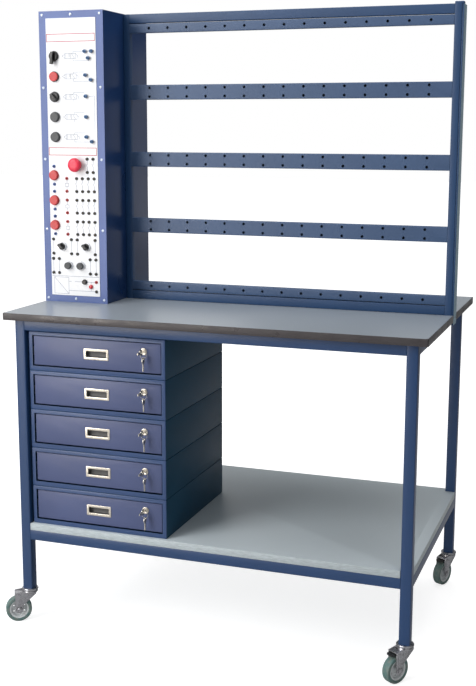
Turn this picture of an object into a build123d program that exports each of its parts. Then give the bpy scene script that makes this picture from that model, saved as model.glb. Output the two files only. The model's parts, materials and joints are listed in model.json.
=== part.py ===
from build123d import *
import math
import os

os.makedirs("parts", exist_ok=True)

# All sizes are in millimetres. The bench is drawn about the middle of its worktop,
# X to the right, Y to the back, Z up from the floor.

# Table
bench_width = 1200
bench_depth = 780
bench_height = 919
worktop_thickness = 20
worktop_corner_radius = 14
edging_thickness = 2
tube = 30
tube_wall = 2
side_overhang = 28
front_overhang = 20
shelf_top = 302
shelf_thickness = 20
notch_clearance = 0.5

# Casters
caster_height = 100
wheel_diameter = 75
tyre_width = 24
tyre_thickness = 10
tyre_edge_radius = 2.6
rim_thickness = 3
hub_radius = 10
hub_side_clearance = 0.5
rim_side_inset = 1.5
web_thickness = 5
trail = 34
axle_radius = 4
cheek_thickness = 3
cheek_gap = 27
cheek_end_radius = 11
cheek_back = 16.5
cheek_back_drop = 1.7
cheek_waist_height = 50
cheek_top_inset = 0.5
nose_thickness = 3
bolt_head_radius = 7.2
swivel_head_radius = 24
swivel_head_thickness = 6
crown_radius = 22.5
crown_thickness = 8
swivel_pin_radius = 6
rivet_radius = 9
rivet_thickness = 3
stem_plug_length = 25
pedal_pivot_out = 23
pedal_pivot_drop = 6
pedal_pin_radius = 2.5
pedal_boss_radius = 5
pedal_reach = 35
pedal_plate_thickness = 3.5
pedal_plate_width = 24
pedal_plate_drop = 0.5
pedal_tip_radius = 7
through = 100
running_clearance = 0.05
play = 0.3
caster_angles = {"front_left": 213, "front_right": 236, "rear_left": 230, "rear_right": 247}
braked_casters = ("front_right", "rear_right")

# Drawer stack
drawer_count = 5
cabinet_width = 418
cabinet_height = 112.6
cabinet_depth = 450
cabinet_sheet = 1.5
stack_gap = 0.4
stack_side_gap = 6
stack_front_setback = 11
flange_side = 11.5
flange_top = 11
flange_bottom = 13.5
drawer_gap = 2.5
drawer_inset = 3.5
front_pan_depth = 16
front_sheet = 1.2
tray_sheet = 1.2
tray_height = 70
tray_rear_gap = 16
runner_lip = 7
runner_lip_thickness = 2
runner_rail_height = 20
runner_clearance = 0.4
runner_side_clearance = 0.5
lip_side_clearance = 1
runner_start = 22
runner_length = 400
runner_lift = 38

# Pull, lock and keys
pull_width = 76
pull_height = 31
pull_frame = 7
pull_frame_thickness = 1.5
pull_depth = 13
pull_wall = 1.2
pull_clearance = 0.2
lock_from_right = 65
lock_above_middle = 18
lock_flange_radius = 10
lock_flange_thickness = 2
lock_body_radius = 8
lock_body_length = 9
plug_radius = 5.5
cam_length = 34
cam_width = 9
cam_thickness = 2
cam_slot_clearance = 1
key_thickness = 2
key_blade_width = 6.5
key_blade_depth = 8
key_bow_radius = 9
key_bow_stand_off = 7
key_hole_radius = 2.4
key_ring_radius = 9
key_ring_wire = 0.7
spare_blade_length = 20
spare_hole_edge = 1.5
keyway_clearance = 0.1
fit_clearance = 0.1

# Rack
rack_setback = 388
rack_top = 1760
upright_width = 20
rack_tube_depth = 20
rack_wall = 1.5
beam_height = 26
bar_gap = 2
edge_bar_height = 26
middle_bar_height = 43
bar_sheet = 1.5
bar_depth = 18
hole_pitch = 59
holes_per_row = 15
row_spacing = 25
hole_radius = 4
cap_height = 6
cap_edge_radius = 1.5
strap_thickness = 5
strap_width = 50
strap_below_top = 28
strap_from_front = 2
strap_low_screw_lift = 60
strap_high_screw_drop = 40
edge_screw_depth = 30

# Control console
console_width = 204.5
console_height = 843
console_depth = 301
console_reach = 134
console_sheet = 1.5
plate_thickness = 2
fascia_thickness = 1.5
fascia_inset_side = 23
fascia_inset_end = 20.5
opening_margin = 1
screw_inset = 10.5
screw_head_radius = 4
screw_head_height = 2.2
screw_shank_radius = 2
screw_length = 7
strap_screw_length = 21
plate_screw_rows = 5

# Push buttons, selectors and what stands behind them
panel_hole_radius = 11.1
barrel_radius = 11
barrel_bore = 8.1
barrel_length = 12
bezel_radius = 15
bezel_height = 4
bezel_floor = 0.8
bezel_wall = 1.2
nut_radius = 14
nut_thickness = 3
stem_radius = 8
stem_past_barrel = 1
cap_clearance = 0.2
turn_clearance = 0.3
press_allowance = 0.1
button_travel = 3
button_proud = 9
button_edge_radius = 1.5
small_button_edge_radius = 1
knob_proud = 8
lever_proud = 18
lever_reach = 20.4
lever_tilt = 200
valve_knob_proud = 16
knob_tilt = -45
handle_width = 8
small_bezel_radius = 13.5
small_bezel_wall = 3.2
small_button_proud = 12.5
selector_proud = 18
mushroom_radius = 20.3
mushroom_base = 14
mushroom_proud = 26
mushroom_neck = 9.5
mushroom_travel = 6
mushroom_edge_radius = 7.2
block_width = 28
block_depth = 42
block_pocket_radius = 9
block_pocket_depth = 8
valve_depth = 60

# Sockets and push-in fittings
socket_flange_radius = 4.5
socket_flange_height = 3
socket_body_radius = 3.5
socket_hole_radius = 3.6
socket_bore_radius = 2
socket_length = 18
socket_bottom = 2
fitting_flange_radius = 6.3
fitting_flange_height = 4
fitting_body_radius = 5
fitting_hole_radius = 5.1
fitting_proud = 10.5
fitting_bore_radius = 2.05
fitting_bore_depth = 14
fitting_length = 16
fuse_radius = 8
fuse_proud = 8
lamp_radius = 6.5
lamp_proud = 6
fuse_hole_radius = 6.1
fuse_body_radius = 6
fuse_length = 22

# Supply unit and relays inside the console
rail_height = 35
rail_depth = 7.5
rail_inset = 24
rail_lift = 180
unit_height = 85
supply_width = 62
relay_width = 24
relay_gap = 3
supply_depth = 95
relay_depth = 62

# Places on the console's face, from its lower left corner
valve_column = 47.5
valve_top_row = 716
valve_row_pitch = 57.5
stop_place = (115, 406)
lamp_button_column = 39.5
lamp_button_rows = (375, 302, 229)
lamp_button_socket_offset = 26
coil_column = 80.5
relay_rows = (347.5, 284.5, 221.5)
relay_socket_offset = 18.6
contact_columns = (112.5, 131.5, 150.5, 169.5)
stop_socket_columns = (148, 167)
stop_socket_rows = (423, 384.5)
selector_places = ((61.5, 166.5), (140, 166.5))
selector_socket_columns = (32, 91, 110.5, 168.7)
selector_socket_rows = (187, 145)
button_places = ((81, 110), (121, 110))
button_socket_columns = (30.5, 49.5, 151.5, 170.5)
button_socket_rows = (129.5, 87.3)
fuse_place = (132.5, 62.5)
lamp_place = (153, 49)
supply_plus_place = (170.5, 63)
supply_minus_place = (170.5, 35)
fitting_places = (
    (148, 728), (169, 728), (158.5, 709),
    (149, 661.5), (166.5, 648),
    (149, 602),
    (149, 543.5),
    (149, 486.5), (166.5, 473),
)

# What follows from the driving sizes
half_width = bench_width / 2
half_depth = bench_depth / 2
worktop_underside = bench_height - worktop_thickness
leg_x = half_width - side_overhang - tube / 2
leg_y = half_depth - front_overhang - tube / 2
leg_places = {
    "front_left": (-leg_x, -leg_y),
    "front_right": (leg_x, -leg_y),
    "rear_left": (-leg_x, leg_y),
    "rear_right": (leg_x, leg_y),
}
wheel_radius = wheel_diameter / 2
crown_top = caster_height - swivel_head_thickness - play
crown_bottom = crown_top - crown_thickness
pedal_pivot_z = crown_bottom - pedal_pivot_drop
cheek_front = trail + cheek_end_radius
cheek_rear = trail - cheek_end_radius
nose_top = crown_bottom + nose_thickness
cheek_outline = [
    (-cheek_back, crown_top - cheek_top_inset),
    (-cheek_back, crown_bottom - cheek_back_drop),
    (cheek_rear, cheek_waist_height),
    (cheek_rear, wheel_radius),
    (cheek_front, wheel_radius),
    (cheek_front, nose_top),
    (cheek_back, crown_top - cheek_top_inset),
]

stack_left = -leg_x + tube / 2 + stack_side_gap
stack_right = stack_left + cabinet_width
stack_front = -leg_y - tube / 2 + stack_front_setback
stack_back = stack_front + cabinet_depth
opening_left = stack_left + flange_side
opening_right = stack_right - flange_side
tray_left = opening_left + runner_lip + lip_side_clearance
tray_right = opening_right - runner_lip - lip_side_clearance
front_face = stack_front + drawer_inset
pan_back = front_face + front_pan_depth
lock_x = stack_right - lock_from_right
pull_x = (opening_left + opening_right) / 2

rack_front = -half_depth + rack_setback
rack_right = half_width - strap_thickness
console_left = -half_width
console_right = console_left + console_width
console_top = bench_height + console_height
case_front = rack_front - console_reach
plate_front = case_front - plate_thickness
face = plate_front - fascia_thickness
case_back = case_front + console_depth - console_sheet
inner_left = console_right + upright_width
inner_right = rack_right - upright_width
bottom_bar_row = bench_height + beam_height + bar_gap + edge_bar_height / 2
top_bar_row = rack_top - beam_height - bar_gap - edge_bar_height / 2
row_reach = (top_bar_row - bottom_bar_row - 3 * row_spacing) / 4
middle_bar_rows = [
    bottom_bar_row + row_reach + row_spacing / 2 + i * (row_reach + row_spacing) for i in range(3)
]

# The origin of the finished part is the middle of its footprint on the floor. The front
# left wheel reaches furthest to the left, and the front right one furthest to the front.
def wheel_reach(along, sideways):
    """How far a trailing wheel with rounded edges reaches from its leg's middle."""
    outer = trail + wheel_radius - tyre_edge_radius
    return outer * abs(along) + (tyre_width / 2 - tyre_edge_radius) * abs(sideways) + tyre_edge_radius


front_left_angle = math.radians(caster_angles["front_left"])
front_right_angle = math.radians(caster_angles["front_right"])
footprint_left = -leg_x - wheel_reach(math.cos(front_left_angle), math.sin(front_left_angle))
footprint_front = -leg_y - wheel_reach(math.sin(front_right_angle), math.cos(front_right_angle))
footprint_middle = Location(
    (-(half_width + footprint_left) / 2, -(half_depth + footprint_front) / 2, 0)
)


def block(xs, ys, zs, mode=Mode.ADD):
    """A box between two limits on each axis."""
    middle = tuple((low + high) / 2 for low, high in (xs, ys, zs))
    with Locations(middle):
        Box(xs[1] - xs[0], ys[1] - ys[0], zs[1] - zs[0], mode=mode)


def square_tube(xs, ys, zs, along, wall):
    """A hollow tube that fills the three limits and is open along one axis."""
    limits = [xs, ys, zs]
    block(*limits)
    bore = [s if i == along else (s[0] + wall, s[1] - wall) for i, s in enumerate(limits)]
    block(*bore, mode=Mode.SUBTRACT)


def group(*parts):
    """Separate solids that touch, kept apart in one node."""
    return Compound(children=list(parts))


def save(part, name):
    placed = part.moved(footprint_middle)
    placed.label = name
    export_step(placed, f"parts/{name}.step")


def round_stack(x, z, y, steps, mode=Mode.ADD):
    """Discs one behind the other on an axis along Y: each step is (radius, y from, y to)."""
    for radius, start, stop in steps:
        with Locations(Location((x, y + (start + stop) / 2, z), (90, 0, 0))):
            Cylinder(radius, abs(stop - start), mode=mode)


def front_outline(corner_radius, reach, height):
    """A rounded plate centred on the bench, its top at the worktop's height."""
    with BuildSketch(Plane.XY.offset(bench_height - height)) as outline:
        RectangleRounded(bench_width - 2 * reach, bench_depth - 2 * reach, corner_radius)
    extrude(outline.sketch, amount=height)


# Worktop, its edge band and the housing for the rack's side strap
strap_front = rack_front + strap_from_front
strap_back = strap_front + strap_width
strap_bottom = bench_height - strap_below_top
strap_top = rack_top
strap_limits = ((rack_right, half_width), (strap_front, strap_back), (strap_bottom, strap_top))
strap_screw_x = half_width
edge_screws = [
    (strap_front + share * strap_width, bench_height - worktop_thickness / 2) for share in (0.25, 0.75)
]
upright_screws = [
    ((strap_front + rack_front + rack_tube_depth) / 2, z)
    for z in (
        bench_height + strap_low_screw_lift,
        (bench_height + rack_top) / 2,
        strap_top - strap_high_screw_drop,
    )
]


def side_holes(places, radius, depth, outer=strap_screw_x):
    """Round holes along X, cut inwards from the strap's outer face."""
    for y, z in places:
        with Locations(Location((outer - depth / 2, y, z), (0, 90, 0))):
            Cylinder(radius, depth, mode=Mode.SUBTRACT)


with BuildPart() as worktop:
    front_outline(worktop_corner_radius - edging_thickness, edging_thickness, worktop_thickness)
    block(*strap_limits, mode=Mode.SUBTRACT)
    side_holes(edge_screws, screw_shank_radius + fit_clearance, edge_screw_depth)
save(worktop.part, "worktop")

with BuildPart() as worktop_edging:
    front_outline(worktop_corner_radius, 0, worktop_thickness)
    with BuildSketch(Plane.XY.offset(worktop_underside)):
        RectangleRounded(
            bench_width - 2 * edging_thickness,
            bench_depth - 2 * edging_thickness,
            worktop_corner_radius - edging_thickness,
        )
    extrude(amount=worktop_thickness, mode=Mode.SUBTRACT)
    block(*strap_limits, mode=Mode.SUBTRACT)
save(worktop_edging.part, "worktop_edging")

# Welded table frame
with BuildPart() as legs:
    for x, y in leg_places.values():
        square_tube(
            (x - tube / 2, x + tube / 2),
            (y - tube / 2, y + tube / 2),
            (caster_height, worktop_underside),
            2,
            tube_wall,
        )
save(legs.part, "legs")

lower_rail_top = shelf_top - shelf_thickness
with BuildPart() as table_rails:
    for rail_top in (worktop_underside, lower_rail_top):
        heights = (rail_top - tube, rail_top)
        for side in (-1, 1):
            ends = sorted((side * (leg_y - tube / 2), side * (leg_y + tube / 2)))
            square_tube((-leg_x + tube / 2, leg_x - tube / 2), ends, heights, 0, tube_wall)
            ends = sorted((side * (leg_x - tube / 2), side * (leg_x + tube / 2)))
            square_tube(ends, (-leg_y + tube / 2, leg_y - tube / 2), heights, 1, tube_wall)
save(table_rails.part, "table_rails")

with BuildPart() as lower_shelf:
    shelf_x = leg_x + tube / 2
    shelf_y = leg_y + tube / 2
    block((-shelf_x, shelf_x), (-shelf_y, shelf_y), (lower_rail_top, shelf_top))
    for x, y in leg_places.values():
        with Locations((x, y, shelf_top - shelf_thickness / 2)):
            notch = tube + 2 * notch_clearance
            Box(notch, notch, shelf_thickness, mode=Mode.SUBTRACT)
save(lower_shelf.part, "lower_shelf")


# Casters, each drawn with its wheel trailing along +X and then turned to its place
def caster_place(corner):
    x, y = leg_places[corner]
    return Location((x, y, 0), (0, 0, caster_angles[corner]))


def across(radius, length, u, z, mode=Mode.ADD):
    """A cylinder along the wheel's axle."""
    with Locations(Location((u, 0, z), (90, 0, 0))):
        Cylinder(radius, length, mode=mode)


def make_fork():
    with BuildPart() as fork:
        with Locations((0, 0, (crown_top + crown_bottom) / 2)):
            Cylinder(crown_radius, crown_thickness)
        for side in (-1, 1):
            outer = cheek_gap / 2 + cheek_thickness
            start = outer if side < 0 else -cheek_gap / 2
            with BuildSketch(Plane.XZ.offset(start)):
                with Locations((trail, wheel_radius)):
                    Circle(cheek_end_radius)
                Polygon(*cheek_outline, align=None)
            extrude(amount=-cheek_thickness)
        block((0, cheek_front), (-cheek_gap / 2, cheek_gap / 2), (crown_bottom, nose_top))
        with Locations((0, 0, (crown_top + crown_bottom) / 2)):
            Cylinder(swivel_pin_radius + running_clearance, crown_thickness, mode=Mode.SUBTRACT)
        across(axle_radius + running_clearance, through, trail, wheel_radius, Mode.SUBTRACT)
        across(pedal_pin_radius + running_clearance, through, pedal_pivot_out, pedal_pivot_z, Mode.SUBTRACT)
    return fork.part


def make_axle():
    cheek_outer = cheek_gap / 2 + cheek_thickness
    with BuildPart() as axle:
        across(axle_radius, 2 * cheek_outer, trail, wheel_radius)
        for plane in (Plane.XZ.offset(cheek_outer), Plane.XZ.offset(-cheek_outer - axle_radius)):
            with BuildSketch(plane):
                with Locations((trail, wheel_radius)):
                    RegularPolygon(bolt_head_radius, 6)
            extrude(amount=axle_radius)
    return axle.part


def make_pedal_pin():
    with BuildPart() as pin:
        across(pedal_pin_radius, cheek_gap + 2 * cheek_thickness, pedal_pivot_out, pedal_pivot_z)
    return pin.part


def make_wheel():
    rim_outer = wheel_radius - tyre_thickness
    rim_inner = rim_outer - rim_thickness
    hub_width = cheek_gap - 2 * hub_side_clearance
    rim_width = tyre_width - 2 * rim_side_inset
    with BuildPart() as rim:
        across(rim_outer, rim_width, trail, wheel_radius)
        for side in (-1, 1):
            depth = (rim_width - web_thickness) / 2
            middle = side * (web_thickness + depth) / 2
            with Locations(Location((trail, middle, wheel_radius), (90, 0, 0))):
                Cylinder(rim_inner, depth, mode=Mode.SUBTRACT)
        across(hub_radius, hub_width, trail, wheel_radius)
        across(axle_radius + running_clearance, through, trail, wheel_radius, Mode.SUBTRACT)
    with BuildPart() as tyre:
        across(wheel_radius, tyre_width, trail, wheel_radius)
        fillet(tyre.edges().filter_by(GeomType.CIRCLE), tyre_edge_radius)
        across(rim_outer, tyre_width, trail, wheel_radius, Mode.SUBTRACT)
    return group(rim.part, tyre.part)


def make_pedal():
    tip = pedal_pivot_out + pedal_reach
    top = pedal_pivot_z + pedal_boss_radius - pedal_plate_drop
    with BuildPart() as pedal:
        across(pedal_boss_radius, pedal_plate_width, pedal_pivot_out, pedal_pivot_z)
        half = pedal_plate_width / 2
        block((pedal_pivot_out, tip), (-half, half), (top - pedal_plate_thickness, top))
        tip_edges = pedal.edges().filter_by(Axis.Z).group_by(Axis.X)[-1]
        fillet(tip_edges, pedal_tip_radius)
        across(pedal_pin_radius + running_clearance, through, pedal_pivot_out, pedal_pivot_z, Mode.SUBTRACT)
    return pedal.part


with BuildPart() as caster_stems:
    for x, y in leg_places.values():
        plug = tube - 2 * tube_wall - notch_clearance
        block(
            (x - plug / 2, x + plug / 2),
            (y - plug / 2, y + plug / 2),
            (caster_height, caster_height + stem_plug_length),
        )
        with Locations((x, y, caster_height - swivel_head_thickness / 2)):
            Cylinder(swivel_head_radius, swivel_head_thickness)
        pin_bottom = crown_bottom - play - rivet_thickness
        with Locations((x, y, (pin_bottom + caster_height) / 2)):
            Cylinder(swivel_pin_radius, caster_height - pin_bottom)
        with Locations((x, y, pin_bottom + rivet_thickness / 2)):
            Cylinder(rivet_radius, rivet_thickness)
save(caster_stems.part, "caster_stems")

for corner in leg_places:
    fork_pieces = [make_fork(), make_axle()]
    if corner in braked_casters:
        fork_pieces.append(make_pedal_pin())
        save(make_pedal().moved(caster_place(corner)), f"caster_pedal_{corner}")
    save(group(*fork_pieces).moved(caster_place(corner)), f"caster_fork_{corner}")
    save(make_wheel().moved(caster_place(corner)), f"caster_wheel_{corner}")


# Drawer stack: five separate cabinets, numbered from the top
def cabinet_bottom(number):
    return shelf_top + (drawer_count - number) * (cabinet_height + stack_gap)


def drawer_middle(number):
    bottom = cabinet_bottom(number)
    return (bottom + flange_bottom + bottom + cabinet_height - flange_top) / 2


with BuildPart() as drawer_cabinets:
    for number in range(1, drawer_count + 1):
        bottom = cabinet_bottom(number)
        top = bottom + cabinet_height
        block((stack_left, stack_right), (stack_front, stack_back), (bottom, top))
        block(
            (stack_left + cabinet_sheet, stack_right - cabinet_sheet),
            (stack_front + cabinet_sheet, stack_back - cabinet_sheet),
            (bottom + cabinet_sheet, top - cabinet_sheet),
            mode=Mode.SUBTRACT,
        )
        block(
            (opening_left, opening_right),
            (stack_front, stack_front + cabinet_sheet),
            (bottom + flange_bottom, top - flange_top),
            mode=Mode.SUBTRACT,
        )
save(drawer_cabinets.part, "drawer_cabinets")


def runner_z(number):
    return cabinet_bottom(number) + flange_bottom + runner_lift


with BuildPart() as drawer_runners:
    runner_y = (stack_front + runner_start, stack_front + runner_start + runner_length)
    for number in range(1, drawer_count + 1):
        middle = runner_z(number)
        lip_inner = runner_rail_height / 2 + runner_clearance
        lip_outer = lip_inner + runner_lip_thickness
        for wall, edge, tip in (
            (stack_left + cabinet_sheet, opening_left, opening_left + runner_lip),
            (stack_right - cabinet_sheet, opening_right, opening_right - runner_lip),
        ):
            block(sorted((wall, edge)), runner_y, (middle - lip_outer, middle + lip_outer))
            for low, high in ((-lip_outer, -lip_inner), (lip_inner, lip_outer)):
                block(sorted((edge, tip)), runner_y, (middle + low, middle + high))
save(drawer_runners.part, "drawer_runners")


def make_tray(number):
    bottom = cabinet_bottom(number) + flange_bottom + drawer_gap
    back = stack_back - tray_rear_gap
    with BuildPart() as tray:
        block((tray_left, tray_right), (pan_back, back), (bottom, bottom + tray_height))
        block(
            (tray_left + tray_sheet, tray_right - tray_sheet),
            (pan_back + tray_sheet, back - tray_sheet),
            (bottom + tray_sheet, bottom + tray_height),
            mode=Mode.SUBTRACT,
        )
    return tray.part


def make_front(number):
    bottom = cabinet_bottom(number) + flange_bottom + drawer_gap
    top = cabinet_bottom(number) + cabinet_height - flange_top - drawer_gap
    left, right = opening_left + drawer_gap, opening_right - drawer_gap
    pull_z = drawer_middle(number)
    lock_z = pull_z + lock_above_middle
    cup_x = pull_width / 2 - pull_frame + pull_wall + pull_clearance
    cup_z = pull_height / 2 - pull_frame + pull_wall + pull_clearance
    with BuildPart() as front:
        block((left, right), (front_face, pan_back), (bottom, top))
        block(
            (left + front_sheet, right - front_sheet),
            (front_face + front_sheet, pan_back),
            (bottom + front_sheet, top - front_sheet),
            mode=Mode.SUBTRACT,
        )
        skin = (front_face, front_face + front_sheet)
        block((pull_x - cup_x, pull_x + cup_x), skin, (pull_z - cup_z, pull_z + cup_z), Mode.SUBTRACT)
        lock_hole = [(lock_body_radius + fit_clearance, 0, front_sheet)]
        round_stack(lock_x, lock_z, front_face, lock_hole, Mode.SUBTRACT)
        cam_y = front_face + lock_body_length + play
        slot = (cam_y - cam_slot_clearance, cam_y + cam_thickness + cam_slot_clearance)
        reach = math.hypot(cam_length, cam_width / 2)
        swept = math.sqrt(max(reach**2 - (top - front_sheet - lock_z) ** 2, cam_width**2))
        block(
            (lock_x - cam_width / 2 - cam_slot_clearance, lock_x + swept + 2 * cam_slot_clearance),
            slot,
            (top - front_sheet, top),
            Mode.SUBTRACT,
        )
    return front.part


def make_rails(number):
    middle = runner_z(number)
    rails = []
    for xs in (
        (opening_left + runner_side_clearance, tray_left),
        (tray_right, opening_right - runner_side_clearance),
    ):
        with BuildPart() as rail:
            heights = (middle - runner_rail_height / 2, middle + runner_rail_height / 2)
            block(xs, (pan_back, stack_back - tray_rear_gap), heights)
        rails.append(rail.part)
    return rails


def make_pull(number):
    z = drawer_middle(number)
    with BuildPart() as pull:
        half_x, half_z = pull_width / 2, pull_height / 2
        block(
            (pull_x - half_x, pull_x + half_x),
            (front_face - pull_frame_thickness, front_face),
            (z - half_z, z + half_z),
        )
        cup_x = half_x - pull_frame
        cup_z = half_z - pull_frame
        block(
            (pull_x - cup_x - pull_wall, pull_x + cup_x + pull_wall),
            (front_face, front_face + pull_depth),
            (z - cup_z - pull_wall, z + cup_z + pull_wall),
        )
        block(
            (pull_x - cup_x, pull_x + cup_x),
            (front_face - pull_frame_thickness, front_face + pull_depth - pull_wall),
            (z - cup_z, z + cup_z),
            mode=Mode.SUBTRACT,
        )
    return pull.part


def make_lock_barrel(number):
    z = drawer_middle(number) + lock_above_middle
    with BuildPart() as barrel:
        steps = [(lock_flange_radius, -lock_flange_thickness, 0), (lock_body_radius, 0, lock_body_length)]
        round_stack(lock_x, z, front_face, steps)
        bore = plug_radius + running_clearance
        round_stack(lock_x, z, front_face, [(bore, -lock_flange_thickness, lock_body_length)], Mode.SUBTRACT)
    return barrel.part


def key_disc(x, y, z, mode=Mode.ADD, radius=key_bow_radius):
    with Locations(Location((x, y, z), (0, 90, 0))):
        Cylinder(radius, key_thickness, mode=mode)


key_face = front_face - lock_flange_thickness
bow_y = key_face - key_bow_stand_off - key_bow_radius
ring_shift = key_ring_radius / math.sqrt(2)
spare_hole_drop = key_hole_radius - key_ring_wire - play


def make_plug(number):
    z = drawer_middle(number) + lock_above_middle
    half_t = key_thickness / 2 + keyway_clearance
    half_b = key_blade_width / 2 + keyway_clearance
    with BuildPart() as plug:
        cam_back = lock_body_length + play + cam_thickness
        round_stack(lock_x, z, front_face, [(plug_radius, -lock_flange_thickness, cam_back)])
        block(
            (lock_x, lock_x + cam_length),
            (front_face + lock_body_length + play, front_face + cam_back),
            (z - cam_width / 2, z + cam_width / 2),
        )
        keyway = (key_face, key_face + key_blade_depth + keyway_clearance)
        block((lock_x - half_t, lock_x + half_t), keyway, (z - half_b, z + half_b), Mode.SUBTRACT)
    return plug.part


def make_key(number):
    z = drawer_middle(number) + lock_above_middle
    half_t, half_b = key_thickness / 2, key_blade_width / 2
    with BuildPart() as key:
        key_disc(lock_x, bow_y, z)
        block(
            (lock_x - half_t, lock_x + half_t),
            (bow_y, key_face + key_blade_depth),
            (z - half_b, z + half_b),
        )
        key_disc(lock_x, bow_y, z, Mode.SUBTRACT, key_hole_radius)
    return key.part


def make_key_ring(number):
    z = drawer_middle(number) + lock_above_middle
    with BuildPart() as ring:
        with Locations(Location((lock_x + ring_shift, bow_y, z - ring_shift), (90, 0, 0))):
            Torus(key_ring_radius, key_ring_wire)
    return ring.part


def make_spare_key(number):
    z = drawer_middle(number) + lock_above_middle - ring_shift - key_ring_radius - spare_hole_drop
    x = lock_x + ring_shift
    bow_z = z - key_bow_radius + key_hole_radius + spare_hole_edge
    with BuildPart() as spare:
        key_disc(x, bow_y, bow_z)
        block(
            (x - key_thickness / 2, x + key_thickness / 2),
            (bow_y - key_blade_width / 2, bow_y + key_blade_width / 2),
            (bow_z - key_bow_radius - spare_blade_length, bow_z - key_bow_radius / 2),
        )
        key_disc(x, bow_y, z, Mode.SUBTRACT, key_hole_radius)
    return spare.part


for number in range(1, drawer_count + 1):
    save(group(make_tray(number), make_front(number), *make_rails(number)), f"drawer_{number}_tray")
    fittings = (make_pull(number), make_lock_barrel(number), make_key_ring(number), make_spare_key(number))
    save(group(*fittings), f"drawer_{number}_pull_and_lock")
    save(group(make_plug(number), make_key(number)), f"drawer_{number}_key")


# Rack: two uprights, two beams and five perforated bars
rack_ys = (rack_front, rack_front + rack_tube_depth)


def make_upright(left, capped):
    with BuildPart() as upright:
        xs = (left, left + upright_width)
        square_tube(xs, rack_ys, (bench_height, rack_top), 2, rack_wall)
        if capped:
            side_holes(upright_screws, screw_shank_radius + fit_clearance, 2 * rack_wall + 1, rack_right + 1)
        else:
            block(xs, rack_ys, (rack_top - rack_wall, rack_top))
    return upright.part


def make_beam(bottom):
    with BuildPart() as beam:
        square_tube((inner_left, inner_right), rack_ys, (bottom, bottom + beam_height), 0, rack_wall)
    return beam.part


def make_cap():
    with BuildPart() as cap:
        block((rack_right - upright_width, half_width), rack_ys, (rack_top, rack_top + cap_height))
        fillet(cap.edges().group_by(Axis.Z)[-1], cap_edge_radius)
    return cap.part


rack_frame = group(
    make_upright(console_right, False),
    make_upright(rack_right - upright_width, True),
    make_beam(bench_height),
    make_beam(rack_top - beam_height),
    make_cap(),
)
save(rack_frame, "rack_frame")


def perforated_bar(middle, height, rows):
    ys = (rack_front, rack_front + bar_depth)
    square_tube((inner_left, inner_right), ys, (middle - height / 2, middle + height / 2), 0, bar_sheet)
    centre_x = (inner_left + inner_right) / 2
    for row in rows:
        with Locations(Location((centre_x, rack_front, row), (90, 0, 0))):
            with GridLocations(hole_pitch, 0, holes_per_row, 1):
                Cylinder(hole_radius, 4 * bar_sheet, mode=Mode.SUBTRACT)


with BuildPart() as rack_bars:
    for row in (bottom_bar_row, top_bar_row):
        perforated_bar(row, edge_bar_height, [row])
    for middle in middle_bar_rows:
        rows = [middle - row_spacing / 2, middle + row_spacing / 2]
        perforated_bar(middle, middle_bar_height, rows)
save(rack_bars.part, "rack_bars")

recess = screw_head_height + fit_clearance
with BuildPart() as rack_side_strap:
    block(*strap_limits)
    side_holes(edge_screws + upright_screws, screw_shank_radius + fit_clearance, strap_thickness)
    side_holes(edge_screws + upright_screws, screw_head_radius + fit_clearance, recess)
save(rack_side_strap.part, "rack_side_strap")

# Console case, its two covers and its face
with BuildPart() as console_case:
    xs = (console_left, console_right)
    zs = (bench_height, console_top)
    block(xs, (case_front, case_back), zs)
    block(
        (xs[0] + console_sheet, xs[1] - console_sheet),
        (case_front + console_sheet, case_back - console_sheet),
        (zs[0] + console_sheet, zs[1] - console_sheet),
        mode=Mode.SUBTRACT,
    )
    flange = 2 * screw_inset
    block(
        (xs[0] + flange, xs[1] - flange),
        (case_back - console_sheet, case_back),
        (zs[0] + flange, zs[1] - flange),
        mode=Mode.SUBTRACT,
    )
    block(
        (xs[0] + fascia_inset_side - opening_margin, xs[1] - fascia_inset_side + opening_margin),
        (case_front, case_front + console_sheet),
        (zs[0] + fascia_inset_end - opening_margin, zs[1] - fascia_inset_end + opening_margin),
        mode=Mode.SUBTRACT,
    )


def face_point(place):
    return console_left + place[0], bench_height + place[1]


def plate_screw_places():
    middle = console_width / 2
    rows = [
        screw_inset + i * (console_height - 2 * screw_inset) / (plate_screw_rows - 1)
        for i in range(plate_screw_rows)
    ]
    for v in rows:
        for u in (screw_inset, middle, console_width - screw_inset):
            if u != middle or v in (rows[0], rows[-1]):
                yield face_point((u, v))


valve_places = [(valve_column, valve_top_row - i * valve_row_pitch) for i in range(5)]
lamp_button_places = [(lamp_button_column, v) for v in lamp_button_rows]
control_places = {
    "selector_lever": valve_places[0],
    "red_palm_button": valve_places[1],
    "valve_selector": valve_places[2],
    "grey_button_upper": valve_places[3],
    "grey_button_lower": valve_places[4],
    "emergency_stop": stop_place,
    "red_button_1": lamp_button_places[0],
    "red_button_2": lamp_button_places[1],
    "red_button_3": lamp_button_places[2],
    "switch_left": selector_places[0],
    "switch_right": selector_places[1],
    "start_button_left": button_places[0],
    "start_button_right": button_places[1],
}
small_controls = ("switch_left", "switch_right", "start_button_left", "start_button_right")
relay_socket_rows = [row + side * relay_socket_offset for row in relay_rows for side in (1, -1)]
red_sockets = [(coil_column, v) for v in relay_socket_rows] + [supply_plus_place]
blue_sockets = [
    (lamp_button_column, v + side * lamp_button_socket_offset) for v in lamp_button_rows for side in (1, -1)
]
black_sockets = [(u, v) for u in contact_columns for v in relay_socket_rows]
black_sockets += [(u, v) for u in stop_socket_columns for v in stop_socket_rows]
black_sockets += [(u, v) for u in selector_socket_columns for v in selector_socket_rows]
black_sockets += [(u, v) for u in button_socket_columns for v in button_socket_rows]
black_sockets += [supply_minus_place]
socket_places = red_sockets + blue_sockets + black_sockets


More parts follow.
